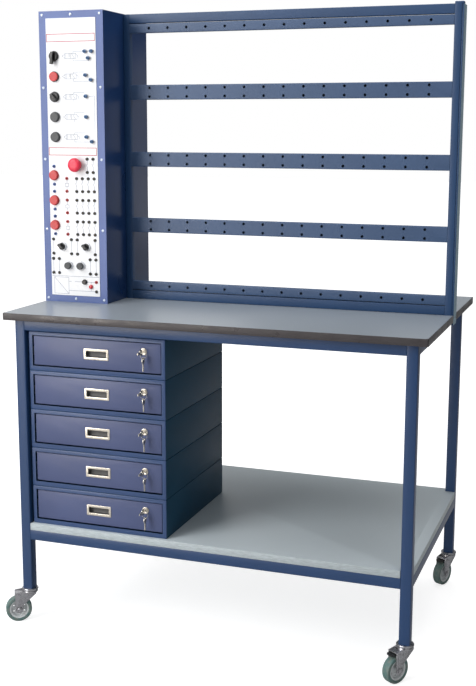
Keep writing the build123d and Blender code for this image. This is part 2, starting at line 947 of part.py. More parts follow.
def panel_holes(front, back):
    """Cut every opening of the console's face through one sheet."""
    holes = [(place, panel_hole_radius) for place in control_places.values()]
    holes += [(place, socket_hole_radius) for place in socket_places]
    holes += [(place, fitting_hole_radius) for place in fitting_places]
    holes += [(fuse_place, fuse_hole_radius), (lamp_place, fuse_hole_radius)]
    for place, radius in holes:
        x, z = face_point(place)
        round_stack(x, z, 0, [(radius, front, back)], Mode.SUBTRACT)


cover_screws = [
    face_point((u, v))
    for u in (screw_inset, console_width - screw_inset)
    for v in (screw_inset, console_height / 2, console_height - screw_inset)
]
screw_hole = [(screw_shank_radius + fit_clearance, 0, console_sheet)]
with console_case:
    for x, z in plate_screw_places():
        round_stack(x, z, case_front, screw_hole, Mode.SUBTRACT)
    for x, z in cover_screws:
        round_stack(x, z, case_back - console_sheet, screw_hole, Mode.SUBTRACT)
save(console_case.part, "console_case")

with BuildPart() as console_front_plate:
    block((console_left, console_right), (plate_front, case_front), (bench_height, console_top))
    panel_holes(plate_front, case_front)
    plate_screw_hole = [(screw_shank_radius + fit_clearance, 0, plate_thickness)]
    for x, z in plate_screw_places():
        round_stack(x, z, plate_front, plate_screw_hole, Mode.SUBTRACT)
save(console_front_plate.part, "console_front_plate")

with BuildPart() as console_fascia:
    block(
        (console_left + fascia_inset_side, console_right - fascia_inset_side),
        (face, plate_front),
        (bench_height + fascia_inset_end, console_top - fascia_inset_end),
    )
    panel_holes(face, plate_front)
save(console_fascia.part, "console_fascia")

with BuildPart() as console_rear_cover:
    block(
        (console_left, console_right),
        (case_back, case_back + console_sheet),
        (bench_height, console_top),
    )
    for x, z in cover_screws:
        round_stack(x, z, case_back, screw_hole, Mode.SUBTRACT)
save(console_rear_cover.part, "console_rear_cover")

with BuildPart() as fasteners:
    for x, z in plate_screw_places():
        head = (screw_head_radius, -screw_head_height, 0)
        round_stack(x, z, plate_front, [head, (screw_shank_radius, 0, screw_length)])
    for x, z in cover_screws:
        head = (screw_head_radius, 0, screw_head_height)
        round_stack(x, z, case_back + console_sheet, [head, (screw_shank_radius, -screw_length, 0)])
    strap_screw = ((screw_head_radius, screw_head_height), (screw_shank_radius, strap_screw_length))
    for y, z in edge_screws + upright_screws:
        for radius, length in strap_screw:
            with Locations(Location((strap_screw_x - length / 2, y, z), (0, 90, 0))):
                Cylinder(radius, length)
save(fasteners.part, "fasteners")

# Sockets, fittings, fuse holder and supply lamp
with BuildPart() as console_sockets:
    for place in socket_places:
        x, z = face_point(place)
        steps = [(socket_flange_radius, -socket_flange_height, 0), (socket_body_radius, 0, socket_length)]
        round_stack(x, z, face, steps)
        bore = [(socket_bore_radius, -socket_flange_height, socket_length - socket_bottom)]
        round_stack(x, z, face, bore, Mode.SUBTRACT)
save(console_sockets.part, "console_sockets")

with BuildPart() as push_in_fittings:
    for place in fitting_places:
        x, z = face_point(place)
        steps = [
            (fitting_flange_radius, -fitting_flange_height, 0),
            (fitting_body_radius, -fitting_proud, fitting_length),
        ]
        round_stack(x, z, face, steps)
        bore = [(fitting_bore_radius, -fitting_proud, fitting_bore_depth - fitting_proud)]
        round_stack(x, z, face, bore, Mode.SUBTRACT)
save(push_in_fittings.part, "push_in_fittings")

with BuildPart() as fuse_and_lamp:
    caps = ((fuse_place, fuse_radius, fuse_proud), (lamp_place, lamp_radius, lamp_proud))
    for place, radius, proud in caps:
        x, z = face_point(place)
        round_stack(x, z, face, [(radius, -proud, 0), (fuse_body_radius, 0, fuse_length)])
save(fuse_and_lamp.part, "fuse_and_lamp")

# Fixed rings of the buttons, with the nuts that hold them
with BuildPart() as control_bezels:
    for name, place in control_places.items():
        x, z = face_point(place)
        small = name in small_controls
        ring = small_bezel_radius if small else bezel_radius
        wall = small_bezel_wall if small else bezel_wall
        round_stack(x, z, face, [(ring, -bezel_height, 0), (barrel_radius, 0, barrel_length)])
        pocket = [(ring - wall, -bezel_height, -bezel_floor), (barrel_bore, -bezel_floor, barrel_length)]
        round_stack(x, z, face, pocket, Mode.SUBTRACT)


def make_nut(place):
    x, z = face_point(place)
    with BuildPart() as nut:
        round_stack(x, z, case_front, [(nut_radius, 0, nut_thickness)])
        round_stack(x, z, case_front, [(barrel_radius, 0, nut_thickness)], Mode.SUBTRACT)
    return nut.part


nuts = [make_nut(place) for place in control_places.values()]
save(group(control_bezels.part, *nuts), "control_bezels")


# Moving caps, knobs and levers of the console
cap_radius = bezel_radius - bezel_wall - cap_clearance
small_cap_radius = small_bezel_radius - small_bezel_wall - cap_clearance
cap_back = bezel_floor + button_travel + press_allowance
stem_end = barrel_length + stem_past_barrel


def make_button(place, radius, proud, edge):
    x, z = face_point(place)
    with BuildPart() as button:
        round_stack(x, z, face, [(radius, -proud, -cap_back)])
        fillet(button.edges().group_by(Axis.Y)[0], edge)
        round_stack(x, z, face, [(stem_radius, -cap_back, stem_end)])
    return button.part


def make_knob(place, radius, proud, base, reach, tilt):
    """A round knob with a bar across it; tilt is the bar's angle from upright."""
    x, z = face_point(place)
    knob_back = bezel_floor + turn_clearance
    with BuildPart() as knob:
        round_stack(x, z, face, [(radius, -base, -knob_back), (stem_radius, -knob_back, stem_end)])
        with Locations(Location((x, face - (base + proud) / 2, z), (0, tilt, 0))):
            with Locations((0, 0, (reach - radius) / 2)):
                Box(handle_width, proud - base, reach + radius)
    return knob.part


def make_mushroom(place):
    x, z = face_point(place)
    with BuildPart() as mushroom:
        round_stack(x, z, face, [(mushroom_radius, -mushroom_proud, -mushroom_base)])
        fillet(mushroom.edges().group_by(Axis.Y)[0], mushroom_edge_radius)
        neck_back = -mushroom_travel - bezel_floor - cap_clearance
        neck = (mushroom_neck, -mushroom_base, neck_back)
        round_stack(x, z, face, [neck, (stem_radius, neck_back, stem_end)])
    return mushroom.part


for name, place in control_places.items():
    if name == "emergency_stop":
        control = make_mushroom(place)
    elif name == "selector_lever":
        control = make_knob(place, cap_radius, lever_proud, knob_proud, lever_reach, lever_tilt)
    elif name == "valve_selector":
        control = make_knob(place, cap_radius, valve_knob_proud, knob_proud, cap_radius, knob_tilt)
    elif name in ("switch_left", "switch_right"):
        control = make_knob(place, small_cap_radius, selector_proud, knob_proud, small_cap_radius, knob_tilt)
    elif name in small_controls:
        control = make_button(place, small_cap_radius, small_button_proud, small_button_edge_radius)
    else:
        control = make_button(place, cap_radius, button_proud, button_edge_radius)
    save(control, name)

# Valves behind the top five controls, contact blocks behind the others
stem_pocket = [(block_pocket_radius, 0, block_pocket_depth)]


def make_blocks(places, depth):
    with BuildPart() as blocks:
        front = face + barrel_length
        for place in places:
            x, z = face_point(place)
            half = block_width / 2
            block((x - half, x + half), (front, front + depth), (z - half, z + half))
            round_stack(x, z, front, stem_pocket, Mode.SUBTRACT)
    return blocks.part


save(make_blocks(valve_places, valve_depth), "pneumatic_valves")
contact_places = [place for name, place in control_places.items() if place not in valve_places]


def make_rail():
    middle = bench_height + rail_lift
    with BuildPart() as rail:
        block(
            (console_left + rail_inset, console_right - rail_inset),
            (case_back - rail_depth, case_back),
            (middle - rail_height / 2, middle + rail_height / 2),
        )
    return rail.part


def make_units():
    middle = bench_height + rail_lift
    heights = (middle - unit_height / 2, middle + unit_height / 2)
    back = case_back - rail_depth
    left = console_left + rail_inset
    with BuildPart() as units:
        block((left, left + supply_width), (back - supply_depth, back), heights)
        for i in range(3):
            start = left + supply_width + relay_gap + i * (relay_width + relay_gap)
            block((start, start + relay_width), (back - relay_depth, back), heights)
    return units.part


contact_blocks = make_blocks(contact_places, block_depth)
save(group(contact_blocks, make_rail(), make_units()), "electrical_units")
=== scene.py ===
import json
import math

import bmesh
import bpy
from mathutils import Matrix, Vector


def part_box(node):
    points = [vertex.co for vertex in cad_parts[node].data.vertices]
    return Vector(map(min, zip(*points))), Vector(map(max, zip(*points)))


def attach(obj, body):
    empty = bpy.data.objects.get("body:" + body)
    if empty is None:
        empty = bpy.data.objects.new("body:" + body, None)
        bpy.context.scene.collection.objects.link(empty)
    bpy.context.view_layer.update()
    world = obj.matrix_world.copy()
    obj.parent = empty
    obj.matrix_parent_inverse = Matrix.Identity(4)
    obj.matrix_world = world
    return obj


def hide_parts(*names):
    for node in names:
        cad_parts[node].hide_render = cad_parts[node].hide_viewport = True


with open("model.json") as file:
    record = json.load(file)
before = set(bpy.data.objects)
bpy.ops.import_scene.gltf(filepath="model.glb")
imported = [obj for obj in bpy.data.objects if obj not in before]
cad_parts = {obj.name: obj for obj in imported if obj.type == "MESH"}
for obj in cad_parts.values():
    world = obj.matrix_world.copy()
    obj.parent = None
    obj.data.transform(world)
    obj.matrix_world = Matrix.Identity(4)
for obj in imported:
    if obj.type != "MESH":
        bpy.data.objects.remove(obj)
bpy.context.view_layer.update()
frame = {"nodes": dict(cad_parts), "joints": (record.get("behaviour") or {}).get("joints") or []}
mm = 0.001
past = 10 * mm  # how far a cutter runs past the face that it opens
joints = {joint["name"]: joint for joint in frame["joints"]}
print("frame loaded")


# Colours are given as seen on a screen and turned into Blender's own values
def seen(red, green, blue):
    def straighten(value):
        value /= 255
        return value / 12.92 if value <= 0.04045 else ((value + 0.055) / 1.055) ** 2.4
    return (straighten(red), straighten(green), straighten(blue), 1)


def shaded(colour, factor):
    return tuple(min(1, value * factor) for value in colour[:3]) + (1,)


# Sizes are written in millimetres and used in metres
def inMetres(sizes):
    return {name: size * mm for name, size in sizes.items()}


def away(x, y, z):
    return Vector((x, y, z)) * mm


# Shared steps of every material
def startMaterial(name, roughness, metallic=0.0):
    material = bpy.data.materials.new(name)
    material.use_nodes = True
    shader = material.node_tree.nodes["Principled BSDF"]
    shader.inputs["Roughness"].default_value = roughness
    shader.inputs["Metallic"].default_value = metallic
    return material, material.node_tree, shader


def placeOn(tree, stretch=(1, 1, 1)):
    coordinates = tree.nodes.new("ShaderNodeTexCoord")
    mapping = tree.nodes.new("ShaderNodeMapping")
    mapping.inputs["Scale"].default_value = stretch
    tree.links.new(coordinates.outputs["Object"], mapping.inputs["Vector"])
    return mapping.outputs["Vector"]


def grain(tree, place, scale, detail=2.0):
    noise = tree.nodes.new("ShaderNodeTexNoise")
    noise.inputs["Scale"].default_value = scale
    noise.inputs["Detail"].default_value = detail
    tree.links.new(place, noise.inputs["Vector"])
    return noise.outputs["Fac"]


def between(tree, value, low, high, start=0.35, end=0.65):
    fit = tree.nodes.new("ShaderNodeMapRange")
    fit.inputs["From Min"].default_value = start
    fit.inputs["From Max"].default_value = end
    fit.inputs["To Min"].default_value = low
    fit.inputs["To Max"].default_value = high
    tree.links.new(value, fit.inputs["Value"])
    return fit.outputs["Result"]


def mixColours(tree, value, first, second):
    mix = tree.nodes.new("ShaderNodeMix")
    mix.data_type = "RGBA"
    tree.links.new(value, mix.inputs["Factor"])
    for socket, colour in ((mix.inputs[6], first), (mix.inputs[7], second)):
        if isinstance(colour, tuple):
            socket.default_value = colour
        else:
            tree.links.new(colour, socket)
    return mix.outputs[2]


def raiseSurface(tree, shader, value, strength, height):
    bump = tree.nodes.new("ShaderNodeBump")
    bump.inputs["Strength"].default_value = strength
    bump.inputs["Distance"].default_value = height
    tree.links.new(value, bump.inputs["Height"])
    tree.links.new(bump.outputs["Normal"], shader.inputs["Normal"])


# What makes each kind of finish: its two shades and their pattern (scale, detail, from, to), how far its
# roughness spreads and in which pattern, and its relief (scale, detail, strength, depth)
finishes = {
    # baked enamel on steel: slight unevenness and fine orange peel
    "enamel": {
        "shades": (0.94, 1.06), "tone": (5, 4), "spread": (-0.02, 0.03), "sheen": (6, 1, 0.2, 0.8),
        "relief": (650, 1, 0.06, 0.0003),
    },
    # grey laminate: close speckle and a satin film
    "laminate": {
        "shades": (0.95, 1.05), "tone": (500, 1, 0.3, 0.7), "spread": (-0.03, 0.06),
        "sheen": (3, 1, 0.2, 0.8), "relief": (500, 0, 0.03, 0.0001),
    },
    # extruded plastic band: drawing marks along its length
    "band": {
        "shades": (0.8, 1.25), "tone": (60, 3), "spread": (-0.08, 0.1), "sheen": (25, 4),
        "relief": (90, 1, 0.1, 0.0003), "stretch": (1, 1, 30),
    },
    # moulded plastic: fine matt grain
    "moulded": {
        "shades": (0.93, 1.07), "tone": (60, 3), "spread": (-0.05, 0.08), "sheen": (220, 3),
        "relief": (2500, 1, 0.1, 0.0001),
    },
    # tyre rubber: matt, with dirt picked up from the floor
    "rubber": {
        "tone": (90, 6, 0.42, 0.7), "spread": (-0.1, 0.15), "sheen": (300, 2),
        "relief": (1200, 2, 0.2, 0.0002),
    },
    # zinc plating: cloudy patches like fine spangle
    "zinc": {
        "shades": (0.9, 1.05), "cells": 260, "tone": (0, 0, 0.1, 0.8), "spread": (-0.1, 0.14),
        "sheen": (120, 4), "relief": (900, 2, 0.05, 0.0001),
    },
    # brushed nickel: fine lines along X
    "nickel": {
        "shades": (0.86, 1.1), "tone": (60, 3), "spread": (-0.08, 0.12), "sheen": (90, 2),
        "relief": (150, 1, 0.08, 0.0001), "stretch": (1, 40, 40),
    },
    # white printed panel: faint texture under a smooth film
    "panel": {
        "shades": (0.975, 1), "tone": (12, 4), "spread": (-0.04, 0.08), "sheen": (40, 3),
        "relief": (1800, 1, 0.05, 0.0001),
    },
}
dust = {"scale": 320, "detail": 3, "from": 0.64, "to": 0.78, "cover": 0.25, "shade": 1.9}


def spangle(tree, place, scale):
    cells = tree.nodes.new("ShaderNodeTexVoronoi")
    cells.inputs["Scale"].default_value = scale
    tree.links.new(place, cells.inputs["Vector"])
    return cells.outputs["Distance"]


def surface(kind, name, colour, roughness, metallic=0.0, gloss=0.5, coat=0.0, dirt=None):
    look = finishes[kind]
    material, tree, shader = startMaterial(name, roughness, metallic)
    shader.inputs["Specular IOR Level"].default_value = gloss
    shader.inputs["Coat Weight"].default_value = coat
    place = placeOn(tree, look.get("stretch", (1, 1, 1)))
    scale, detail, *reach = look["tone"]
    pattern = spangle(tree, place, look["cells"]) if "cells" in look else grain(tree, place, scale, detail)
    base = seen(*colour)
    first, second = (base, seen(*dirt)) if dirt else (shaded(base, factor) for factor in look["shades"])
    toned = mixColours(tree, between(tree, pattern, 0, 1, *reach), first, second)
    if kind == "enamel":
        speck = grain(tree, place, dust["scale"], dust["detail"])
        speck = between(tree, speck, 0, dust["cover"], dust["from"], dust["to"])
        toned = mixColours(tree, speck, toned, shaded(base, dust["shade"]))
    tree.links.new(toned, shader.inputs["Base Color"])
    scale, detail, *reach = look["sheen"]
    low, high = look["spread"]
    smear = grain(tree, placeOn(tree) if kind == "band" else place, scale, detail)
    uneven = between(tree, smear, roughness + low, roughness + high, *reach)
    tree.links.new(uneven, shader.inputs["Roughness"])
    scale, detail, strength, depth = look["relief"]
    raiseSurface(tree, shader, grain(tree, place, scale, detail), strength, depth)
    return material


paint = {
    "frame": surface("enamel", "frameEnamel", (31, 61, 102), 0.32),
    "rack": surface("enamel", "rackEnamel", (27, 62, 102), 0.42),
    "bar": surface("enamel", "barEnamel", (54, 79, 114), 0.42),
    "drawer": surface("enamel", "drawerEnamel", (70, 81, 119), 0.34),
    # cabinet: one enamel in two copies. The sides and tops get a darker, teal copy with less gloss as painted
    # shade; cabinetFront is the lit copy for the front flanges
    "cabinet": surface("enamel", "cabinetEnamelPaintedShade", (24, 66, 90), 0.4, gloss=0.1),
    "cabinetFront": surface("enamel", "cabinetEnamelLitFront", (48, 72, 114), 0.32),
    "console": surface("enamel", "consoleEnamel", (26, 54, 98), 0.28),
    "frontPlate": surface("enamel", "frontPlateEnamel", (86, 105, 158), 0.42),
    "worktop": surface("laminate", "worktopLaminate", (140, 148, 156), 0.3),
    "shelf": surface("laminate", "shelfLaminate", (192, 202, 207), 0.42),
    "shelfEdge": surface("band", "shelfEdgeBand", (172, 182, 186), 0.4),
    "edging": surface("band", "worktopEdgeBand", (58, 54, 56), 0.34),
    "zinc": surface("zinc", "zincPlate", (176, 176, 180), 0.27, 0.95),
    "screw": surface("zinc", "screwZinc", (216, 226, 240), 0.3, 0.4),
    "strap": surface("zinc", "strapZinc", (142, 170, 184), 0.5, 0.15),
    "runner": surface("zinc", "runnerZinc", (176, 180, 182), 0.42, 0.9),
    "brass": surface("zinc", "contactBrass", (176, 150, 96), 0.35, 0.9),
    "valves": surface("zinc", "valveBody", (190, 192, 196), 0.4, 0.9),
    "nickel": surface("nickel", "pullNickel", (214, 208, 196), 0.28, 1.0),
    "keyNickel": surface("nickel", "keyNickel", (206, 202, 190), 0.24, 1.0),
    "fascia": surface("panel", "fasciaWhite", (232, 234, 237), 0.3),
    "printGrey": surface("moulded", "printGrey", (150, 156, 172), 0.4),
    "printRed": surface("moulded", "printRed", (176, 30, 46), 0.4),
    "red": surface("moulded", "buttonRed", (190, 44, 46), 0.4, coat=0.1),
    "stopRed": surface("moulded", "stopRed", (226, 46, 74), 0.36, coat=0.1),
    "darkRed": surface("moulded", "socketRed", (170, 32, 44), 0.35),
    "black": surface("moulded", "knobBlack", (14, 15, 18), 0.34, coat=0.1),
    "socketBlack": surface("moulded", "socketBlack", (48, 50, 53), 0.4),
    "darkGrey": surface("moulded", "buttonGrey", (70, 72, 74), 0.45),
    "pale": surface("moulded", "bezelPale", (228, 230, 235), 0.3),
    "blue": surface("moulded", "socketBlue", (44, 84, 150), 0.35),
    "fitting": surface("moulded", "fittingBlue", (60, 104, 150), 0.35),
    "lens": surface("moulded", "lampRed", (206, 30, 44), 0.15, coat=0.6),
    "cup": surface("moulded", "pullCup", (84, 84, 84), 0.4),
    "tyre": surface("rubber", "tyreRubber", (88, 118, 116), 0.6, dirt=(120, 128, 122)),
    "wheelCore": surface("moulded", "wheelCore", (206, 210, 212), 0.36),
    "pedal": surface("moulded", "pedalBlack", (30, 32, 34), 0.42),
    "units": surface("moulded", "unitPlastic", (150, 154, 158), 0.5),
}
print("materials made")


# Selecting and shaping
def deselect():
    active = bpy.context.view_layer.objects.active
    if active and active.mode != "OBJECT":
        bpy.ops.object.mode_set(mode="OBJECT")
    bpy.ops.object.select_all(action="DESELECT")


def only(piece):
    deselect()
    piece.select_set(True)
    bpy.context.view_layer.objects.active = piece


def settle(piece):
    only(piece)
    bpy.ops.object.transform_apply(location=True, rotation=True, scale=True)
    return piece


def named(name):
    piece = bpy.context.view_layer.objects.active
    piece.name = name
    piece.data.name = name
    return settle(piece)


def block(name, low, high):
    deselect()
    middle = [(a + b) / 2 for a, b in zip(low, high)]
    bpy.ops.mesh.primitive_cube_add(size=1, location=middle, scale=[abs(b - a) for a, b in zip(low, high)])
    return named(name)


def rod(name, radius, depth, middle, laid=(0, 0, 0), sides=32):
    deselect()
    bpy.ops.mesh.primitive_cylinder_add(
        vertices=sides, radius=radius, depth=depth, location=middle, rotation=laid
    )
    return named(name)


# Opens a piece in edit mode with the faces or edges picked that pass a test of place and direction
def pick(piece, test, what="faces"):
    only(piece)
    bpy.ops.object.mode_set(mode="EDIT")
    bpy.context.tool_settings.mesh_select_mode = (False, what == "edges", what == "faces")
    mesh = bmesh.from_edit_mesh(piece.data)
    for group in (mesh.verts, mesh.edges, mesh.faces):
        for item in group:
            item.select = False
    if what == "faces":
        for face in mesh.faces:
            face.select_set(bool(test(face.calc_center_median(), face.normal)))
    else:
        for edge in mesh.edges:
            start, end = edge.verts[0].co, edge.verts[1].co
            edge.select_set(bool(test((start + end) / 2, (end - start).normalized())))
    bmesh.update_edit_mesh(piece.data)


def leaveEdit():
    bpy.ops.object.mode_set(mode="OBJECT")


# Tests for edges: those that run along an axis, or all of them
def runs(axis):
    return lambda middle, along: abs(along["xyz".index(axis)]) > 0.9


def everyEdge(middle, along):
    return True


def roundEdges(piece, width, segments, test):
    pick(piece, test, "edges")
    bpy.ops.mesh.bevel(offset=width, offset_type="OFFSET", segments=segments, profile=0.5, affect="EDGES")
    leaveEdit()
    return piece


def modify(piece, kind, **settings):
    only(piece)
    modifier = piece.modifiers.new(kind.title(), kind)
    for key, value in settings.items():
        setattr(modifier, key, value)
    bpy.ops.object.modifier_apply(modifier=modifier.name)
    return piece


def soften(piece, width, segments=2, angle=40):
    return modify(
        piece, "BEVEL", width=width, segments=segments, limit_method="ANGLE",
        angle_limit=math.radians(angle), harden_normals=False, miter_outer="MITER_ARC",
    )


def carve(piece, cutter):
    modify(piece, "BOOLEAN", operation="DIFFERENCE", object=cutter, solver="EXACT")
    bpy.data.objects.remove(cutter)
    return piece


def hollow(piece, low, high):
    return carve(piece, block("cutter", low, high))


def shifted(piece, name, shift=(0, 0, 0)):
    only(piece)
    bpy.ops.object.duplicate(linked=False)
    made = bpy.context.view_layer.objects.active
    made.location = shift
    return named(name)


def laidAt(piece, place, turn):
    piece.rotation_euler = turn
    piece.location = place
    return settle(piece)


def joined(name, pieces):
    deselect()
    for piece in pieces:
        piece.select_set(True)
    bpy.context.view_layer.objects.active = pieces[0]
    if len(pieces) > 1:
        bpy.ops.object.join()
    return named(name)


# A round piece, drawn ring by ring along +Z from (radius, height) pairs in millimetres, then laid on its axis
def turned(name, rings, place, laid=(0, 0, 0), sides=40, closed=True):
    deselect()
    rings = [(radius * mm, height * mm) for radius, height in rings]
    radius, height = rings[0]
    bpy.ops.mesh.primitive_circle_add(
        vertices=sides, radius=radius, location=(0, 0, height), fill_type="NGON" if closed else "NOTHING"
    )
    piece = named(name)
    bpy.ops.object.mode_set(mode="EDIT")
    bpy.ops.mesh.select_all(action="SELECT")
    for nextRadius, nextHeight in rings[1:]:
        step = {"value": (0, 0, nextHeight - height)}
        if closed:
            bpy.ops.mesh.extrude_region_move(TRANSFORM_OT_translate=step)
        else:
            bpy.ops.mesh.extrude_edges_move(TRANSFORM_OT_translate=step)
        size = nextRadius / radius
        bpy.ops.transform.resize(value=(size, size, 1), center_override=(0, 0, nextHeight))
        radius, height = nextRadius, nextHeight
    bpy.ops.mesh.select_all(action="SELECT")
    if not closed:
        bpy.ops.mesh.remove_doubles(threshold=1e-6)
    bpy.ops.mesh.normals_make_consistent(inside=False)
    leaveEdit()
    return laidAt(piece, place, laid)


def mirrored(rings):
    return rings + [(radius, -height) for radius, height in reversed(rings)]


towardsFront = (math.pi / 2, 0, 0)
towardsBack = (-math.pi / 2, 0, 0)
towardsRight = (0, math.pi / 2, 0)


# The last step of every piece: shading, paint, body and the CAD nodes that it stands for
def finishPiece(piece, colour, stands=(), body="bench"):
    only(piece)
    bpy.ops.object.shade_smooth_by_angle(angle=math.radians(35))
    if not piece.data.materials:
        piece.data.materials.append(paint[colour])
    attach(piece, body)
    if stands:
        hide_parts(*stands)
    return piece


def twoColours(piece, first, second, test):
    piece.data.materials.clear()
    piece.data.materials.append(paint[first])
    piece.data.materials.append(paint[second])
    for face in piece.data.polygons:
        face.material_index = 1 if test(face.center, face.normal) else 0


def repaint(node, colour):
    cadPiece = frame["nodes"][node]
    cadPiece.data.materials.clear()
    cadPiece.data.materials.append(paint[colour])


def sizeOf(node):
    low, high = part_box(node)
    return low.copy(), high.copy()

# Table: worktop, its band, legs, rails and shelf
table = inMetres({
    "bandRadius": 0.9, "cornerRadius": 4, "boardRadius": 12, "tubeRadius": 2.6, "tube": 30, "notch": 30.5,
})


def makeEdging():
    low, high = sizeOf("worktop_edging")
    topLow, topHigh = sizeOf("worktop")
    band = block("worktopEdging", low, high)
    roundEdges(band, table["cornerRadius"], 8, runs("z"))
    inside = block("insideCut", (topLow.x, topLow.y, low.z - past), (topHigh.x, topHigh.y, high.z + past))
    roundEdges(inside, table["boardRadius"], 8, runs("z"))
    carve(band, inside)
    strapLow, strapHigh = sizeOf("rack_side_strap")
    hollow(band, strapLow, (strapHigh.x + past, strapHigh.y, strapHigh.z))
    soften(band, table["bandRadius"], 3, 60)
    finishPiece(band, "edging", ["worktop_edging"])


def makeTube(name, low, high, axis, radius):
    return roundEdges(block(name, low, high), radius, 3, runs(axis))


def makeLegs():
    low, high = sizeOf("legs")
    side, radius = table["tube"], table["tubeRadius"]
    made = []
    for x in (low.x, high.x - side):
        for y in (low.y, high.y - side):
            made.append(makeTube("legTube", (x, y, low.z), (x + side, y + side, high.z), "z", radius))
    finishPiece(joined("legTubes", made), "frame", ["legs"])


def makeRails():
    low, high = sizeOf("table_rails")
    side, radius = table["tube"], table["tubeRadius"]
    made = []
    for z in (low.z, high.z - side):
        for y in (low.y, high.y - side):
            ends = (low.x + side, y, z), (high.x - side, y + side, z + side)
            made.append(makeTube("rail", *ends, "x", radius))
        for x in (low.x, high.x - side):
            ends = (x, low.y + side, z), (x + side, high.y - side, z + side)
            made.append(makeTube("rail", *ends, "y", radius))
    finishPiece(joined("tableRails", made), "frame", ["table_rails"])


def makeShelf():
    low, high = sizeOf("lower_shelf")
    shelf = block("lowerShelf", low, high)
    reach = Vector((table["notch"], table["notch"], 0.1))
    for x in (low.x, high.x):
        for y in (low.y, high.y):
            corner = Vector((x, y, low.z))
            hollow(shelf, corner - reach, corner + reach)
    soften(shelf, 0.6 * mm, 2, 60)
    twoColours(shelf, "shelf", "shelfEdge", lambda middle, normal: abs(normal.z) < 0.4)
    finishPiece(shelf, "shelf", ["lower_shelf"])


makeEdging()
makeLegs()
makeRails()
makeShelf()
repaint("worktop", "worktop")
print("table made")


# Casters, drawn with the wheel trailing along +X below the origin's axis, then turned
caster = inMetres({
    "wheelRadius": 37.5, "tyreWidth": 24, "tyreThickness": 10, "trail": 34, "cheekGap": 27, "cheek": 3,
    "height": 100, "crownTop": 93.7, "crownDepth": 8, "pivotOut": 23, "pivotHeight": 79.7, "pedalReach": 35,
    "axleEnd": 11, "cheekBack": 16.5, "waist": 50, "nose": 3,
})
axle = Vector((caster["trail"], 0, caster["wheelRadius"]))
crownBottom = caster["crownTop"] - caster["crownDepth"]
nose = crownBottom + caster["nose"]


def makeTyre():
    radius, half = caster["wheelRadius"] / mm, caster["tyreWidth"] / 2 / mm
    inner = radius - caster["tyreThickness"] / mm
    lower = [
        (inner, 1.5 - half), (inner + 1.2, 0.2 - half), (radius - 4, -half), (radius - 1.6, 0.7 - half),
        (radius - 0.4, 2.2 - half), (radius, 4.5 - half),
    ]
    return turned("tyre", mirrored(lower) + lower[:1], axle, towardsFront, 96, closed=False)


def makeWheelCore():
    radius = (caster["wheelRadius"] - caster["tyreThickness"]) / mm
    half, hub = caster["tyreWidth"] / 2 / mm - 1.5, caster["cheekGap"] / 2 / mm - 0.6
    lower = [
        (4.05, -hub), (8.6, -hub), (10, 1 - hub), (10.4, 4 - half), (11.4, -3.2), (12.6, -2.6), (21.2, -2.6),
        (22.4, -3.4), (23, 1.6 - half), (23.7, 0.4 - half), (24.6, -half), (radius, -half),
    ]
    core = turned("wheelCore", mirrored(lower) + lower[:1], axle, towardsFront, 72, closed=False)
    for i in range(6):
        angle = math.radians(60 * i + 30)
        middle = axle + 17.2 * away(math.cos(angle), 0, math.sin(angle))
        carve(core, rod("webHole", 2.6 * mm, 20 * mm, middle, towardsFront, 20))
    return core


def outsideOf(side, proud=0.0):
    return side * (caster["cheekGap"] / 2 + caster["cheek"] + proud)


def cheekWeb(middle):
    # a plate from the axle up to the crown, straight in front and cut back behind, pulled from a block
    front, rear, half = axle.x + caster["axleEnd"], axle.x - caster["axleEnd"], caster["cheek"] / 2
    top, back, waist = caster["crownTop"] - 0.5 * mm, caster["cheekBack"], caster["waist"]
    web = block("cheekWeb", (rear, middle - half, axle.z), (front, middle + half, waist))
    pick(web, lambda place, normal: normal.z > 0.9)
    for step in (nose - waist, top - nose):
        bpy.ops.mesh.extrude_region_move(TRANSFORM_OT_translate={"value": (0, 0, step)})
    mesh = bmesh.from_edit_mesh(web.data)
    for corner in mesh.verts:
        if corner.co.z > waist + mm:
            high = corner.co.z > nose + mm
            if corner.co.x > (front + rear) / 2:
                corner.co.x = back if high else front
            else:
                corner.co.x = -back
                corner.co.z = top if high else crownBottom - 1.7 * mm
    bmesh.update_edit_mesh(web.data)
    leaveEdit()
    return soften(web, 0.6 * mm, 2, 30)


def makeFork():
    gap = caster["cheekGap"] / 2
    low, high = crownBottom / mm, caster["crownTop"] / mm
    rings = [
        (6.1, low), (18, low), (21, low + 0.7), (22.5, low + 2.4), (22.5, high - 2.4), (21.4, high - 0.7),
        (20, high), (6.1, high), (6.1, low),
    ]
    parts = [turned("crown", rings, (0, 0, 0), sides=64, closed=False)]
    for side in (-1, 1):
        middle = side * (gap + caster["cheek"] / 2)
        cheek = rod("cheek", caster["axleEnd"], caster["cheek"], (axle.x, middle, axle.z), towardsFront, 40)
        soften(cheek, 0.6 * mm, 2, 50)
        web = cheekWeb(middle)
        rib = block(
            "rib", (axle.x - 5.5 * mm, outsideOf(side), axle.z + 9 * mm),
            (axle.x + 5.5 * mm, outsideOf(side, 1.3 * mm), nose - 4 * mm),
        )
        roundEdges(rib, 4.5 * mm, 5, runs("y"))
        soften(rib, 0.6 * mm, 2, 50)
        place, laid = (axle.x, outsideOf(side), axle.z), towardsBack if side > 0 else towardsFront
        bolt = turned("boltHead", [(7.2, 0), (7.2, 0.8), (6.6, 1)], place, laid, 40)
        nut = turned("hexHead", [(6.4, 0.9), (6.4, 3.4), (5.6, 4), (3.9, 4), (3.6, 3.7)], place, laid, 6)
        parts += [cheek, web, rib, bolt, nut]
    pin = rod("axle", 3.95 * mm, 2 * gap, axle, towardsFront, 24)
    bridge = block(
        "bridge", (18 * mm, -gap - 0.5 * mm, crownBottom), (axle.x + caster["axleEnd"], gap + 0.5 * mm, nose)
    )
    soften(bridge, 0.8 * mm, 2, 50)
    return joined("fork", parts + [pin, bridge])


